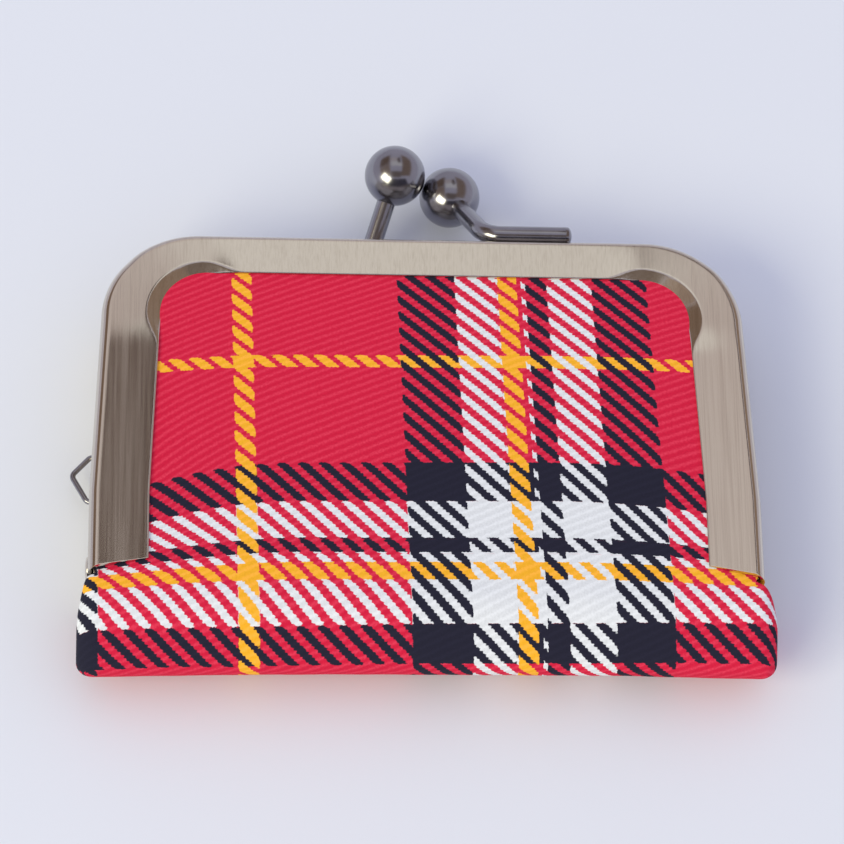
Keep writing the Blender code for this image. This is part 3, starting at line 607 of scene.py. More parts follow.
def frameSection(s):
    # the bent sheet's section: (inset, height over the mid-plane, share of the lip's lean, share of the pressed fall)
    low, face, sheet, edge = s["halvesGap"] / 2, pouch["midZ"], pouch["sheet"], s["edgeRadius"]
    lip, innerLip = s["sideLip"], s["sideLip"] - s["innerLipSetback"]
    flat = face - edge

    def lipPoint(inset, height):
        # the underside falls less, so the pressed edge ends thin
        depth = (face - height) / sheet
        fall = 1 - (1 - s["undersideFall"]) * depth
        leaning = max(0.0, (inset - s["leanFrom"]) / (lip - s["leanFrom"]))
        return inset, height, leaning * (1 - (1 - s["undersideLean"]) * depth), fall

    deep, lipCut, innerCut = s["chamferDepth"], s["lipChamfer"], s["innerLipChamfer"]
    faceSteps, undersideSteps, wallSteps = 28, 14, 3
    lipWidth = lip - deep - edge
    ring = [lipPoint(lip - deep - lipWidth * step / faceSteps, face) for step in range(faceSteps)]
    arc = [lipPoint(inset, height) for inset, height in arcOf((edge, flat), edge, pi / 2, pi, 10)]
    ring += [(inset, height, leaning, 0.0) for inset, height, leaning, _ in arc]
    ring += [(0.0, flat - (flat - low) * step / wallSteps, 0.0, 0.0) for step in range(1, wallSteps)]
    ring += [(inset, height, 0.0, 0.0) for inset, height in [
        (innerCut, low), (innerLip - innerCut, low), (innerLip, low + deep), (innerLip, low + sheet - deep),
        (innerLip - innerCut, low + sheet), (sheet, low + sheet)] + arcOf((edge, flat), edge - sheet, pi, pi / 2, 6)]
    ring += [lipPoint(edge + lipWidth * step / undersideSteps, face - sheet) for step in range(1, undersideSteps + 1)]
    ring += [lipPoint(lip - lipCut, face - sheet + lipCut), lipPoint(lip, face - sheet + deep),
             lipPoint(lip, face - deep), lipPoint(lip - lipCut, face - lipCut)]
    return ring


def sweptChannel(name, side, s):
    outer, corner = outlineHalf(0, 0, s["cornerRadius"], pouch["armEndY"])
    cutRise = s["sideLip"] * tan(radians(s["cutSlope"]))
    edgeRow, _ = outlineHalf(s["sideLip"], s["topLip"], s["innerCornerRadius"], pouch["armEndY"] + cutRise)
    across = [((e[0] - o[0]) / s["sideLip"], (e[1] - o[1]) / s["sideLip"], 0) for o, e in zip(outer, edgeRow)]
    # the corner's bevel fades out along the straights
    eased = []
    for index in range(len(corner)):
        near = min(abs(index - other) for other, value in enumerate(corner) if value)
        eased.append(1 - smoothStep(near / s["bevelFadeRows"]))
    mirror = range(len(outer) - 1, -1, -1)
    places = [(x * mm, y * mm, 0) for x, y in outer] + [(0, (pouch["armEndY"] + pouch["height"]) * mm, 0)]
    places += [(-outer[k][0] * mm, outer[k][1] * mm, 0) for k in mirror]
    inwards = across + [(0, -s["topLip"] / s["sideLip"], 0)] + [(-across[k][0], across[k][1], 0) for k in mirror]
    easedAll = eased + [0.0] + [eased[k] for k in mirror]
    ring = frameSection(s)
    path = lineOf(name, places, place=places, across=inwards, corner=easedAll)
    section = lineOf("section", [(a * mm, b * mm, 0) for a, b, _, _ in ring], True,
                     inset=[r[0] * mm for r in ring], height=[r[1] * mm for r in ring],
                     easing=[r[2] for r in ring], lip=[r[3] for r in ring])
    runTree(path, channel, {"Section": section, "Material": satin, "Mid Plane": pouch["midZ"] * mm,
                            "Side": float(side), "Lip Fall": s["lipFall"] * mm, "Lip Width": s["sideLip"] * mm,
                            "Corner Lean": s["cornerLean"], "Corner Bevel Width": s["bevelWidth"] * mm,
                            "Corner Bevel Fall": s["cornerBevelFall"] * mm})
    bpy.data.objects.remove(section, do_unlink=True)
    for vertex in path.data.vertices:
        rise = vertex.co.y / mm - pouch["armEndY"]
        inset = pouch["armHalf"] - abs(vertex.co.x) / mm
        low = 1 - smoothStep(rise / s["cutLiftHeight"])
        vertex.co.y += s["cutLift"] * mm * smoothStep(inset / s["cutLiftWidth"]) * low
        inset = min(inset, pouch["height"] - rise)
        if (vertex.co.z / mm - pouch["midZ"]) * side > s["shiftOver"]:
            vertex.co.x += s["openingShift"] * mm * smoothStep((inset - s["shiftFrom"]) / s["shiftWidth"])
    return path


def prism(name, outline, low, high, axis):
    # an outline pushed along X or Z; points are mm
    ends = []
    for depth in (low, high):
        for a, b in outline:
            ends.append((depth * mm, a * mm, b * mm) if axis == "X" else (a * mm, b * mm, depth * mm))
    count = len(outline)
    faces = [tuple(range(count)), tuple(range(2 * count - 1, count - 1, -1))]
    faces += [(k, (k + 1) % count, count + (k + 1) % count, count + k) for k in range(count)]
    return pieceFrom(name, ends, faces)


def trimHinge(piece, side, s):
    # room for the hinge: the inner lip ends short of the ears
    half = pouch["armHalf"] - pouch["sheet"]
    low = pouch["armEndY"] - s["overrun"]
    high = pouch["hingeY"] + s["earRadius"] + s["earSwingGap"] + s["earTail"] / 2
    near = pouch["midZ"] - side * s["overrun"]
    far = pouch["midZ"] + side * (s["halvesGap"] + pouch["sheet"] + s["overrun"])
    cutWith(piece, prism("cutter", [(-half, low), (half, low), (half, high), (-half, high)], near, far, "Z"))


def boreEars(piece, earOuter, s):
    circle = circleOf((pouch["hingeY"], pouch["midZ"]), s["rivetRadius"] + s["rivetHoleGap"], 40)
    for hand in (-1, 1):
        low = hand * (earOuter - pouch["sheet"] - s["overrun"])
        high = hand * (earOuter + s["overrun"])
        cutWith(piece, prism("cutter", circle, low, high, "X"))


def finishSheet(piece, s):
    # broken edges, as on any pressed and tumbled part
    tidyNormals(piece.data, 1e-6)
    bevel = piece.modifiers.new("brokenEdges", "BEVEL")
    bevel.width = s["brokenEdge"] * mm
    bevel.segments = 2
    bevel.limit_method = "ANGLE"
    bevel.angle_limit = radians(s["brokenAngle"])
    applyModifiers(piece)
    tidyNormals(piece.data)
    piece.data.shade_smooth()
    piece.data.set_sharp_from_angle(angle=radians(s["sharpAngle"]))
    if not piece.data.materials:
        piece.data.materials.append(satin)


def rearFrame(s):
    piece = sweptChannel("rearFrameSheet", -1, s)
    trimHinge(piece, -1, s)
    for hand in (-1, 1):
        ear = circleOf((pouch["hingeY"], pouch["midZ"]), s["earRadius"], 64)
        low, high = hand * (pouch["armHalf"] - pouch["sheet"]), hand * pouch["armHalf"]
        cutWith(piece, prism("ear", ear, low, high, "X"), "UNION")
    boreEars(piece, pouch["armHalf"], s)
    for rise in (-1, 1):
        centre = (pouch["armEndY"] + loopSet["rise"] + rise * loopSet["spread"] / 2, loopSet["depthFromBack"])
        hole = circleOf(centre, loopSet["wireRadius"] + loopSet["holeGap"], 24)
        low, high = -pouch["armHalf"] - s["overrun"], -pouch["armHalf"] + loopSet["holeDepth"]
        cutWith(piece, prism("cutter", hole, low, high, "X"))
    finishSheet(piece, s)
    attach(piece, "rear_half")
    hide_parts("rear_frame")
    return piece


def frontFrame(s):
    piece = sweptChannel("frontFrameSheet", 1, s)
    trimHinge(piece, 1, s)
    hinge, mid = pouch["hingeY"], pouch["midZ"]
    earOuter = pouch["armHalf"] - pouch["sheet"] - s["earGap"]
    swing = s["earRadius"] + s["earSwingGap"]
    low = pouch["armEndY"] - s["overrun"]
    notch = arcOf((hinge, mid), swing, 0, pi / 2, 20) + [(low, mid + swing), (low, mid - 1), (hinge + swing, mid - 1)]
    base = mid + s["halvesGap"] / 2
    tail = hinge + swing + s["earTail"]
    ear = arcOf((hinge, mid), s["earRadius"], pi / 2, 2 * pi + asin(s["halvesGap"] / 2 / s["earRadius"]), 48)
    ear += [(tail, base), (tail, mid + s["earRadius"])]
    seat = [(hinge + swing, base), (tail, base), (tail, mid + s["earRadius"]), (hinge + swing, mid + s["earRadius"])]
    for hand in (-1, 1):
        wallLow, wallHigh = pouch["armHalf"] - pouch["sheet"] - s["overrun"], pouch["armHalf"] + s["overrun"]
        cutWith(piece, prism("notch", notch, hand * wallLow, hand * wallHigh, "X"))
        earPart = prism("ear", ear, hand * (earOuter - pouch["sheet"]), hand * earOuter, "X")
        stepLow, stepHigh = earOuter - pouch["sheet"] / 2, pouch["armHalf"] - pouch["sheet"] / 2
        step = prism("step", seat, hand * stepLow, hand * stepHigh, "X")
        cutWith(earPart, step, "UNION")
        cutWith(piece, earPart, "UNION")
    boreEars(piece, earOuter, s)
    finishSheet(piece, s)
    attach(piece, "front_half")
    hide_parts("front_frame")
    return piece


rearFrame(frameSet)
frontFrame(frameSet)
print("frame halves made")


# Hinge rivets, turned and peened

rivetSet = {"headRadius": 1.5, "innerHead": 0.6, "outerHead": 0.3, "steps": 48, "domeSteps": 12, "domePower": 2.6,
            "sharpAngle": 50.0}


def turned(name, profile, hand, steps, material):
    # profile: (x, radius) pairs in mm, spun about the hinge's axis
    points = [(hand * x * mm, y * mm, z * mm) for x, radius in profile
              for y, z in circleOf((pouch["hingeY"], pouch["midZ"]), radius, steps)]
    faces = []
    for row in range(len(profile) - 1):
        first, second = row * steps, (row + 1) * steps
        for k in range(steps):
            following = (k + 1) % steps
            faces.append((first + k, first + following, second + following, second + k))
    return pieceFrom(name, points, faces, material)


def rivet(name, hand, node, s):
    shaft = frameSet["rivetRadius"]
    outer = pouch["armHalf"] + frameSet["earGap"] / 2
    inner = pouch["armHalf"] - 2 * pouch["sheet"] - 1.5 * frameSet["earGap"]
    dome = []
    for k in range(s["domeSteps"] + 1):
        radius = s["headRadius"] * cos(k / s["domeSteps"] * pi / 2)
        dome.append((sqrt(max(0.0, 1 - (radius / s["headRadius"]) ** s["domePower"])), radius))
    profile = [(inner - rise * s["innerHead"], radius) for rise, radius in reversed(dome)]
    profile += [(inner, shaft), (outer, shaft)]
    profile += [(outer + rise * s["outerHead"], radius) for rise, radius in dome]
    piece = turned(name, profile, hand, s["steps"], satin)
    piece.data.set_sharp_from_angle(angle=radians(s["sharpAngle"]))
    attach(piece, "rear_half")
    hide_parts(node)


rivet("leftHingeRivet", -1, "hinge_rivet_left", rivetSet)
rivet("rightHingeRivet", 1, "hinge_rivet_right", rivetSet)


# Clasp: two bent wires that end in balls, and the small side loop

claspSet = {"offset": 0.5, "ballRadius": 3.66, "ballSpacing": 6.78, "ballRise": 10.9, "ballStagger": 0.55,
            "ballCrossing": 1.5, "wireRadius": 1.12, "bendRadius": 2.8, "reach": 17.5, "bendReach": 7.1,
            "faceInset": 0.1, "solderGap": 0.05, "ballSegments": 72, "ballRings": 48, "bendSteps": 14,
            "stemInBall": 0.5}

# lengths are shares of a wire's radius; capShares place the rings of a rounded start
wireSet = {"spacing": 0.8, "sides": 28, "capLength": 0.5, "capShares": (0.02, 0.12, 0.3, 0.55, 0.8),
           "sharpAngle": 50.0}


def roundedRoute(corners, radius, steps):
    # a route through the corners, each rounded to the radius
    route = [Vector(corners[0])]
    for index in range(1, len(corners) - 1):
        here = Vector(corners[index])
        back = (Vector(corners[index - 1]) - here).normalized()
        ahead = (Vector(corners[index + 1]) - here).normalized()
        halfAngle = acos(back.dot(ahead)) / 2
        centre = here + (back + ahead).normalized() * (radius / sin(halfAngle))
        tangent = radius * cos(halfAngle) / sin(halfAngle)
        first = (here + back * tangent - centre).normalized()
        last = (here + ahead * tangent - centre).normalized()
        route += [centre + first.slerp(last, k / steps) * radius for k in range(steps + 1)]
    return route + [Vector(corners[-1])]


def denser(route, spacing):
    # the same route with points about a spacing apart
    points = [route[0]]
    for a, b in zip(route, route[1:]):
        count = max(1, int((b - a).length / spacing + 0.5))
        points += [a.lerp(b, k / count) for k in range(1, count + 1)]
    return points


def wirePiece(name, route, radius, material, section=None, turns=0.0, roundStart=False, s=wireSet):
    # route and section in mm
    points = denser(route, radius * s["spacing"])
    thick = [1.0] * len(points)
    if roundStart:
        tip, onward = points[0], (points[1] - points[0]).normalized()
        points = [tip + onward * radius * share * s["capLength"] for share in s["capShares"]] + points[1:]
        thick = [sqrt(1 - (1 - share) ** 2) for share in s["capShares"]] + thick[1:]
    path = lineOf(name, [p * mm for p in points], thick=thick)
    section = section or circleOf((0, 0), radius, s["sides"])
    outline = lineOf("section", [(a * mm, b * mm, 0) for a, b in section], True)
    runTree(path, wire, {"Section": outline, "Material": material, "Turns": turns})
    bpy.data.objects.remove(outline, do_unlink=True)
    path.data.set_sharp_from_angle(angle=radians(s["sharpAngle"]))
    return path


def ball(name, centre, radius, node, body):
    shape = bmesh.new()
    bmesh.ops.create_uvsphere(shape, u_segments=claspSet["ballSegments"], v_segments=claspSet["ballRings"],
                              radius=radius * mm)
    bmesh.ops.translate(shape, verts=shape.verts, vec=centre * mm)
    mesh = bpy.data.meshes.new(name)
    shape.to_mesh(mesh)
    shape.free()
    mesh.shade_smooth()
    mesh.materials.append(polished)
    piece = placeObject(name, mesh)
    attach(piece, body)
    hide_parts(node)


def claspHalf(side, word, body, s):
    topY = pouch["armEndY"] + pouch["height"]
    centre = Vector((s["offset"] + side * s["ballSpacing"] / 2, topY + s["ballRise"] - side * s["ballStagger"],
                     pouch["midZ"] - side * s["ballCrossing"]))
    y = topY + s["solderGap"] + s["wireRadius"]
    z = pouch["midZ"] + side * (pouch["midZ"] - s["faceInset"] - s["wireRadius"])
    end = Vector((s["offset"] + side * s["reach"], y, z))
    bend = Vector((s["offset"] + side * s["bendReach"], y, z))
    tip = centre - (centre - bend).normalized() * (s["ballRadius"] * s["stemInBall"])
    route = roundedRoute([end, bend, tip], s["bendRadius"], s["bendSteps"])
    stem = wirePiece(word + "ClaspWire", route, s["wireRadius"], polished, roundStart=True)
    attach(stem, body)
    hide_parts("clasp_wire_" + word)
    ball(word + "ClaspBall", centre, s["ballRadius"], "clasp_ball_" + word, body)


claspHalf(1, "front", "front_half", claspSet)
claspHalf(-1, "rear", "rear_half", claspSet)


def sideLoop(s):
    def at(rise, out):
        return Vector((-wallHalf(rise) - out, pouch["armEndY"] + rise, s["depthFromBack"]))

    low, high = s["rise"] - s["spread"] / 2, s["rise"] + s["spread"] / 2
    inside = -pouch["sheet"] - s["endInside"]
    corners = [at(low, inside), at(low, s["standoff"]), at(s["rise"] + s["tipLift"], s["reach"]),
               at(high, s["standoff"]), at(high, inside)]
    route = roundedRoute(corners, s["bendRadius"], s["bendSteps"])
    piece = wirePiece("sideLoopWire", route, s["wireRadius"], polished)
    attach(piece, "rear_half")
    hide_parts("side_loop")


sideLoop(loopSet)
print("clasp, loop and rivets made")


# Tartan cover: front panel, folded bottom and back panel as one cloth

coverSet = {"face": 5.12, "panelInset": 1.9, "panelTopY": 18.47, "bagHalf": 40.35, "bagOffset": 0.2, "noseY": -35.375,
            "noseRadius": 3.0, "bendRadius": 9.0, "tilt": 30.0, "edgeRadius": 2.2, "mouthEdgeRadius": 0.35,
            "mouthY": -25.68, "mouthHalf": 38.25, "widenFromY": -22.0, "shoulder": 5.5, "thickness": 0.35,
            "columns": 84, "cornerColumns": 7, "wallColumns": 6, "thinnest": 0.02, "panelOver": 11.2,
            "sharpAngle": 70.0,
            # rows of the panel, its widening, down to the bend, the bend, the slope and the nose
            "rows": (28, 7, 4, 12, 6, 18),
            # below the mouth: how soon its edges round, it lies aside and it sags; its ends draw in by the nose
            "roundIn": 3.0, "asideIn": 2.0, "sagIn": 7.0, "drawnIn": 1.1, "drawnFrom": 1.8,
            # slow waves: share of the depth, turns across and along, and phase
            "waves": ((0.5, 0.19, 0.0, 1.3), (0.3, 0.43, 0.5, 0.4), (0.2, 0.91, -0.7, 2.1)), "waveMm": 0.1,
            "sagWaveMm": 0.05, "sagWaveAt": 3.0,
            # how far the folded bottom sags or is drawn up, across its width
            "sags": [(-45.0, -0.75), (-38.0, -0.75), (-30.0, -0.48), (-22.0, -0.24), (-10.0, 0.0), (0.0, 0.1),
                     (23.0, 0.28), (32.0, 0.15), (45.0, 0.0)]}

# how the print lies on the cloth, which was fitted a little askew and bowed, and stretched along its length
printSet = {"skew": 0.031, "skewGrowth": 0.00035, "skewFromY": -8.0, "slant": 0.015, "upperSlant": 0.012,
            "upperFrom": 15.0, "upperBlend": 10.0, "bowLeft": 0.003, "bowRight": 0.0015, "bowFrom": 14.0,
            "flatPitch": 2.45, "lean": 0.062,
            "bows": [(-90.0, 0.0), (-5.0, 0.0), (-1.0, 1.0), (3.0, 2.0), (6.0, 3.0), (14.0, 3.0), (20.0, 2.0),
                     (27.0, 1.0), (90.0, 1.0)],
            "pitches": [(-90.0, 2.45), (-7.6, 2.45), (-6.0, 2.6), (-4.0, 2.95), (-0.5, 2.85), (1.5, 2.5), (5.0, 2.42),
                        (12.5, 2.42), (18.0, 2.33), (23.5, 2.25), (33.0, 2.1), (37.0, 2.06), (90.0, 2.06)]}


def printTable(s, step=0.25, reach=320):
    # (distance along the cloth from the arms' ends, place in the flat print), both in mm
    up, down = [(0.0, 0.0)], [(0.0, 0.0)]
    for k in range(reach):
        for way, places in ((1, up), (-1, down)):
            rate = s["flatPitch"] / readAt(s["pitches"], way * step * (k + 0.5)) - s["lean"]
            places.append((way * step * (k + 1), places[-1][1] + way * step * rate))
    return down[:0:-1] + up


printPlaces = printTable(printSet)


def printPlace(x, flatY, distance, s=printSet):
    across = x + (s["skew"] + s["skewGrowth"] * x) * (flatY - s["skewFromY"])
    slant = s["slant"] + (s["upperSlant"] - s["slant"]) * smoothStep((distance - s["upperFrom"]) / s["upperBlend"])
    bow = (s["bowLeft"] if x < 0 else s["bowRight"]) * max(0.0, abs(x) - s["bowFrom"]) ** 2
    return across, readAt(printPlaces, distance - slant * x + bow * readAt(s["bows"], distance))


def bagProfile(s):
    # (y, z over the mid-plane, distance along from the arms' ends) from the panel's top down to the nose
    tilt = radians(s["tilt"])
    bendEnd = s["face"] - s["bendRadius"] * (1 - cos(tilt))
    straight = (bendEnd - s["noseRadius"] * cos(tilt)) / sin(tilt)
    noseCentre = s["noseY"] + s["noseRadius"]
    bendY = noseCentre - s["noseRadius"] * sin(tilt) + straight * cos(tilt) + s["bendRadius"] * sin(tilt)
    panel, widening, down, bend, slope, nose = s["rows"]
    rows = [(s["panelTopY"] + (s["widenFromY"] - s["panelTopY"]) * k / panel, s["face"]) for k in range(panel + 1)]
    rows += [(s["widenFromY"] + (s["mouthY"] - s["widenFromY"]) * k / widening, s["face"])
             for k in range(1, widening + 1)]
    rows += [(s["mouthY"] + (bendY - s["mouthY"]) * k / down, s["face"]) for k in range(1, down)]
    for k in range(bend + 1):
        a = tilt * k / bend
        rows.append((bendY - s["bendRadius"] * sin(a), s["face"] - s["bendRadius"] * (1 - cos(a))))
    endY, endZ = rows[-1]
    noseStartY, noseStartZ = noseCentre - s["noseRadius"] * sin(tilt), s["noseRadius"] * cos(tilt)
    for k in range(1, slope + 1):
        rows.append((endY + (noseStartY - endY) * k / slope, endZ + (noseStartZ - endZ) * k / slope))
    for k in range(1, nose + 1):
        a = tilt + (pi / 2 - tilt) * k / nose
        rows.append((noseCentre - s["noseRadius"] * sin(a), s["noseRadius"] * cos(a)))
    along, total = [], 0.0
    for index, (y, z) in enumerate(rows):
        if index:
            total += hypot(y - rows[index - 1][0], z - rows[index - 1][1])
        along.append(total)
    zero = s["panelTopY"] - pouch["armEndY"]
    return [(y, z, zero - t) for (y, z), t in zip(rows, along)]


def clothWave(x, y, depth):
    # slow hand-made unevenness of the stuffed bottom, in mm
    waves = (share * sin(x * across + y * along + phase) for share, across, along, phase in coverSet["waves"])
    return depth * sum(waves)


def panelHalf(y, inset):
    # half width of a flat panel inside the channel, with rounded upper corners
    radius = frameSet["cornerRadius"] - inset
    over = max(0.0, y - (pouch["armEndY"] + pouch["height"] - inset - radius))
    return wallHalf(y - pouch["armEndY"]) - inset - radius + sqrt(max(0.0, radius ** 2 - over ** 2))


def coverHalf(y, s):
    # the cloth widens under the arms' ends, then swells past them in a rounded shoulder
    if y > s["mouthY"]:
        grown = smoothStep((s["widenFromY"] - y) / (s["widenFromY"] - s["mouthY"]))
        return panelHalf(y, s["panelInset"]) + (s["mouthHalf"] - pouch["armHalf"] + s["panelInset"]) * grown
    grown = min(1.0, (s["mouthY"] - y) / s["shoulder"])
    half = s["mouthHalf"] + (s["bagHalf"] - s["mouthHalf"]) * sqrt(max(0.0, 1 - (1 - grown) ** 2))
    nearNose = max(0.0, 1 - (y - s["noseY"]) / s["drawnFrom"])
    return half - s["drawnIn"] * nearNose ** 3


# the corners of a quad, as steps down the rows and along the columns
quadSteps = ((0, 0), (1, 0), (1, 1), (0, 1))


def buildCover(s):
    profile = bagProfile(s)
    half, rows = s["columns"] // 2, len(profile)
    ends = s["cornerColumns"] + s["wallColumns"]
    noseDistance = profile[-1][2]
    points, faces, places, index = [], [], [], {}

    def inBag(y):
        return y <= s["mouthY"] + 1e-6

    def addPoint(key, place, x, y, distance):
        # place in mm; the back carries on from the front, past the nose
        index[key] = len(points)
        points.append(tuple(value * mm for value in place))
        isFront = key[0] == 1
        flatY, way = (y, distance) if isFront else (2 * s["noseY"] - y, 2 * noseDistance - distance)
        places.append(printPlace(x, flatY, way))

    for side in (1, -1):
        for row, (y, z, distance) in enumerate(profile):
            below = s["mouthY"] - y
            grown = smoothStep(below / s["roundIn"]) if inBag(y) else 0.0
            corner = s["mouthEdgeRadius"] + (s["edgeRadius"] - s["mouthEdgeRadius"]) * grown
            corner = min(corner, max(z, s["thinnest"]))
            flatHalf = coverHalf(y, s) - (corner if inBag(y) else 0.0)
            isNose = row == rows - 1
            aside = s["bagOffset"] * smoothStep(below / s["asideIn"])
            for column in range(-half, half + 1):
                x = flatHalf * column / half + aside
                lift = 0.0 if isNose else clothWave(x, y, s["waveMm"]) * grown
                shift = clothWave(x, s["sagWaveAt"], s["sagWaveMm"]) + readAt(s["sags"], x)
                shift *= smoothStep(below / s["sagIn"])
                addPoint((side, row, column), (x, y + shift, pouch["midZ"] + side * (z + lift)), x, y, distance)
            if not inBag(y):
                continue
            # rounded ends of the bag, from the flat's edge round to the middle of the wall
            for hand in (-1, 1):
                edge = index[(side, row, hand * half)]
                index[(side, row, hand * half, 0)] = edge
                shift = points[edge][1] / mm - y
                for k in range(1, ends + 1):
                    if k <= s["cornerColumns"]:
                        a = pi / 2 * k / s["cornerColumns"]
                        out, down, travelled = corner * sin(a), corner * (1 - cos(a)), corner * a
                    else:
                        t = (k - s["cornerColumns"]) / s["wallColumns"]
                        out, down = corner, corner + (z - corner) * t
                        travelled = corner * pi / 2 + (z - corner) * t
                    x = hand * (flatHalf + out) + aside
                    height = max(0.0, z - down)
                    lift = 0.0 if isNose else clothWave(x, y, s["waveMm"]) * grown * height / max(z, s["thinnest"])
                    addPoint((side, row, hand * half, k), (x, y + shift, pouch["midZ"] + side * (height + lift)),
                             hand * (flatHalf + travelled) + aside, y, distance)
    for side in (1, -1):
        for row in range(rows - 1):
            for column in range(-half, half):
                corners = [index[(side, row + down, column + right)] for down, right in quadSteps]
                addQuad(faces, corners, side == 1)
            if not inBag(profile[row][0]):
                continue
            for hand in (-1, 1):
                for k in range(ends):
                    corners = [index[(side, row + down, hand * half, k + right)] for down, right in quadSteps]
                    addQuad(faces, corners, side * hand == 1)
    mesh = bpy.data.meshes.new("tartanCover")
    mesh.from_pydata(points, [], faces)
    uv = mesh.uv_layers.new(name="clothMm")
    for loop in mesh.loops:
        uv.data[loop.index].uv = places[loop.vertex_index]
    tidyNormals(mesh, 2e-6)
    turnOutwards(mesh, s["panelOver"] * mm)
    mesh.shade_smooth()
    mesh.materials.append(tartan)
    piece = placeObject("tartanCover", mesh)
    thicken(piece, s["thickness"])
    piece.data.set_sharp_from_angle(angle=radians(s["sharpAngle"]))
    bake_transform(piece, "rear_half", "front_half", start=(0, 0, 7.7 * mm), end=(0, 0, 10.5 * mm))
    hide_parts("front_cover", "bottom_cover", "back_cover", "bottom_interlining")
    return piece


cover = buildCover(coverSet)
print("cover made")


# Boards keep their solids and get their own finish

for boardName in ("front_board", "back_board"):
    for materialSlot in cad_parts[boardName].material_slots:
        materialSlot.material = board


# Paper cords that wedge the cloth in each channel

cordSet = {"radius": 1.0, "inset": 1.8, "turnMm": 5.0, "plyShare": 0.56, "plySteps": 12, "endGap": 0.2, "depth": 2.0,
           "cornerSteps": 20}


def paperCord(side, word, body, s):
    low = pouch["hingeY"] + frameSet["earRadius"] + frameSet["earSwingGap"] + frameSet["earTail"] + s["endGap"]
    radius = frameSet["cornerRadius"] - s["inset"]
    half, _ = outlineHalf(s["inset"], s["inset"], radius, low, s["cornerSteps"])
    z = pouch["midZ"] + side * s["depth"]
    points = [Vector((x, y, z)) for x, y in half]
    points += [Vector((-p.x, p.y, z)) for p in reversed(points)]
    length = sum((b - a).length for a, b in zip(points, points[1:]))
    ply = s["radius"] * s["plyShare"]
    gap = s["radius"] - ply
    # two plies, each an arc that ends where it meets the other
    reach = pi - acos(gap / ply)
    ring = arcOf((gap, 0.0), ply, -reach, reach, s["plySteps"])
    ring += arcOf((-gap, 0.0), ply, pi - reach, pi + reach, s["plySteps"])
    piece = wirePiece(word + "PaperCord", points, s["radius"], paper, ring, length / s["turnMm"])
    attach(piece, body)
    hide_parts(word + "_paper_cord")


paperCord(1, "front", "front_half", cordSet)
paperCord(-1, "rear", "rear_half", cordSet)
print("boards and paper cords dressed")


# Lining: one black cotton bag inside, with its sides closed up to the hinge

bagLiningSet = {"face": 3.65, "half": 36.6, "topY": 17.9, "noseY": -32.9, "sideTopY": -14.2, "thickness": 0.3,
                "columns": 48, "noseRadius": 3.2, "inset": 2.4, "flatRows": 44, "noseRows": 12, "sideColumns": 8,
                "sagMm": 0.12, "sagAcross": 0.21, "sagAlong": 0.13, "sagIn": 8.0, "foldMm": 1.4, "panelOver": 9.0}


def buildLining(s):
    flatEnd = s["noseY"] + s["noseRadius"]
    rows = [(s["topY"] + (flatEnd - s["topY"]) * k / s["flatRows"], s["face"]) for k in range(s["flatRows"] + 1)]
    for k in range(1, s["noseRows"] + 1):
        a = pi / 2 * k / s["noseRows"]
        rows.append((flatEnd - s["noseRadius"] * sin(a), s["face"] * cos(a)))
    count, last = s["columns"], len(rows) - 1
    points, faces, index = [], [], {}
    for side in (1, -1):
        for row, (y, z) in enumerate(rows):
            half = min(s["half"], panelHalf(y, s["inset"]))
            for column in range(count + 1):
                if row == last and side == -1:
                    index[(side, row, column)] = index[(1, row, column)]
                    continue
                x = half * (2 * column / count - 1)
                index[(side, row, column)] = len(points)
                sag = s["sagMm"] * sin(x * s["sagAcross"] + y * s["sagAlong"]) if z > 1 else 0.0
                sag *= smoothStep((s["topY"] - y) / s["sagIn"])
                points.append((x * mm, y * mm, (pouch["midZ"] + side * (z + sag)) * mm))
    for side in (1, -1):
        for row in range(last):
            for column in range(count):
                corners = [index[(side, row + down, column + right)] for down, right in quadSteps]
                addQuad(faces, corners, side == 1)
    # closed sides below the opening, folded in a little
    steps = s["sideColumns"]
    first = next(k for k, (y, _) in enumerate(rows) if y <= s["sideTopY"])
    for hand, column in ((-1, 0), (1, count)):
        for row in range(first, last):
            z = rows[row][1]
            a, b = Vector(points[index[(1, row, column)]]), Vector(points[index[(-1, row, column)]])
            for k in range(1, steps):
                place = a.lerp(b, k / steps)
                place.x -= hand * s["foldMm"] * mm * sin(pi * k / steps) * smoothStep(z / s["face"])
                index[("wall", hand, row, k)] = len(points)
                points.append(tuple(place))
            index[("wall", hand, row, 0)] = index[(1, row, column)]
            index[("wall", hand, row, steps)] = index[(-1, row, column)]
        for row in range(first, last - 1):
            for k in range(steps):
                corners = [index[("wall", hand, row + down, k + right)] for down, right in quadSteps]
                addQuad(faces, corners, hand == 1)
        tip = index[(1, last, column)]
        for k in range(steps):
            faces.append((index[("wall", hand, last - 1, k)], tip, index[("wall", hand, last - 1, k + 1)]))
    piece = pieceFrom("innerLining", points, faces, lining)
    turnOutwards(piece.data, s["panelOver"] * mm)
    thicken(piece, s["thickness"])
    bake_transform(piece, "rear_half", "front_half", start=(0, 0, 3.0 * mm), end=(0, 0, 9.2 * mm))
    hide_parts("front_lining", "back_lining", "bottom_lining")
    return piece


bagLining = buildLining(bagLiningSet)
print("lining made")


# Floor, light and background

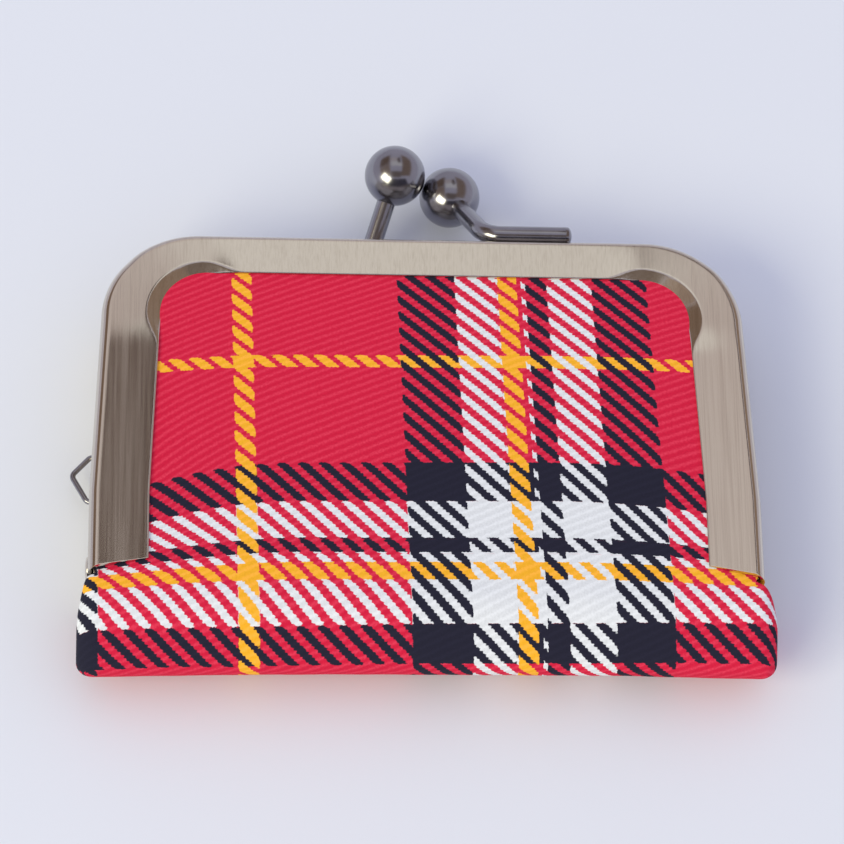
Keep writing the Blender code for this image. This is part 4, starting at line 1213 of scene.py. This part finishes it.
studioSet = {
    "floor": "#E5E7E9", "floorHalf": 3.0, "floorDrop": 0.0001, "floorRoughness": 0.75, "backdrop": "#E4E9F2",
    "fill": "#BABDD3", "fillStrength": 1.31, "room": "#AEABB7",
    "keyPlace": (-1.12, -1.0, 1.08), "keySize": (0.54, 0.80), "keyGap": 0.06, "keyPower": 9.9, "keyColour": "#FFFBDA",
    # reflector cards, which only the metal mirrors: (name, centre, size in m, tilt about X, colour)
    "cards": [("whiteCard", (0.12, 0.62, 2.0), (1.44, 0.70), 0, "#E9E7E6"),
              ("greyCard", (-0.24, 1.42, 2.0), (1.02, 0.90), 0, "#CEC4C4"),
              ("brownCard", (0.43, 1.30, 1.95), (0.36, 1.10), 0, "#4E392D"),
              ("rightSideCard", (2.15, 1.00, 2.0), (2.5, 4.4), 0, "#8F7B6D"),
              ("overheadCard", (0.12, -1.00, 2.0), (1.56, 1.0), 0, "#7A6C64"),
              ("leftSideCard", (-2.0, -0.30, 2.0), (2.5, 1.8), 0, "#9A877C"),
              ("leftBrownCard", (-2.0, 1.85, 2.0), (2.4, 2.4), 0, "#7A6556"),
              ("darkFrontCard", (0.0, -1.9, 1.0), (4.4, 2.0), 90, "#403D49")]}


def rectangle(name, halfX, halfY, material):
    mesh = bpy.data.meshes.new(name)
    mesh.from_pydata([(-halfX, -halfY, 0), (halfX, -halfY, 0), (halfX, halfY, 0), (-halfX, halfY, 0)], [],
                     [(0, 1, 2, 3)])
    mesh.materials.append(material)
    return placeObject(name, mesh)


def buildStudio(s):
    sweep = newMaterial("paleSweep", {"Roughness": s["floorRoughness"], "Base Color": toLinear(s["floor"])})[0]
    floor = rectangle("floor", s["floorHalf"], s["floorHalf"], sweep)
    floor.location = (0, 0, -s["floorDrop"])

    world = bpy.data.worlds.new("studio")
    bpy.context.scene.world = world
    world.use_nodes = True
    add = partial(addNode, world.node_tree)
    path = add("LightPath", out=None).outputs
    lit = add("Mix", path["Is Glossy Ray"], sockets={6: toLinear(s["fill"]), 7: toLinear(s["room"])}, out=2,
              data_type="RGBA")
    seen = add("Mix", path["Is Camera Ray"], sockets={6: lit, 7: toLinear(s["backdrop"])}, out=2, data_type="RGBA")
    setSockets(world.node_tree.nodes["Background"], {"Color": seen, "Strength": s["fillStrength"]})

    # the key is a window of two panes
    away = Vector(s["keyPlace"])
    turn = away.to_track_quat("Z", "Y")
    for hand in (-1, 1):
        lamp = bpy.data.lights.new("keyPane", "AREA")
        lamp.shape = "RECTANGLE"
        lamp.size, lamp.size_y = s["keySize"]
        lamp.energy = s["keyPower"]
        lamp.color = toLinear(s["keyColour"])[:3]
        holder = placeObject("keyPane", lamp)
        holder.location = away + turn @ Vector((hand * (s["keySize"][0] + s["keyGap"]) / 2, 0, 0))
        holder.rotation_euler = turn.to_euler()

    for name, centre, size, tilt, colour in s["cards"]:
        glow = newMaterial(name, {"Roughness": 1.0, "Base Color": (0, 0, 0, 1), "Emission Color": toLinear(colour),
                                  "Emission Strength": 1.0})[0]
        card = rectangle(name, size[0] / 2, size[1] / 2, glow)
        card.location = centre
        card.rotation_euler = (radians(tilt), 0, 0)
        card.visible_camera = card.visible_diffuse = card.visible_shadow = card.visible_transmission = False


buildStudio(studioSet)
bpy.context.scene.view_settings.view_transform = "Standard"
print("studio lit")
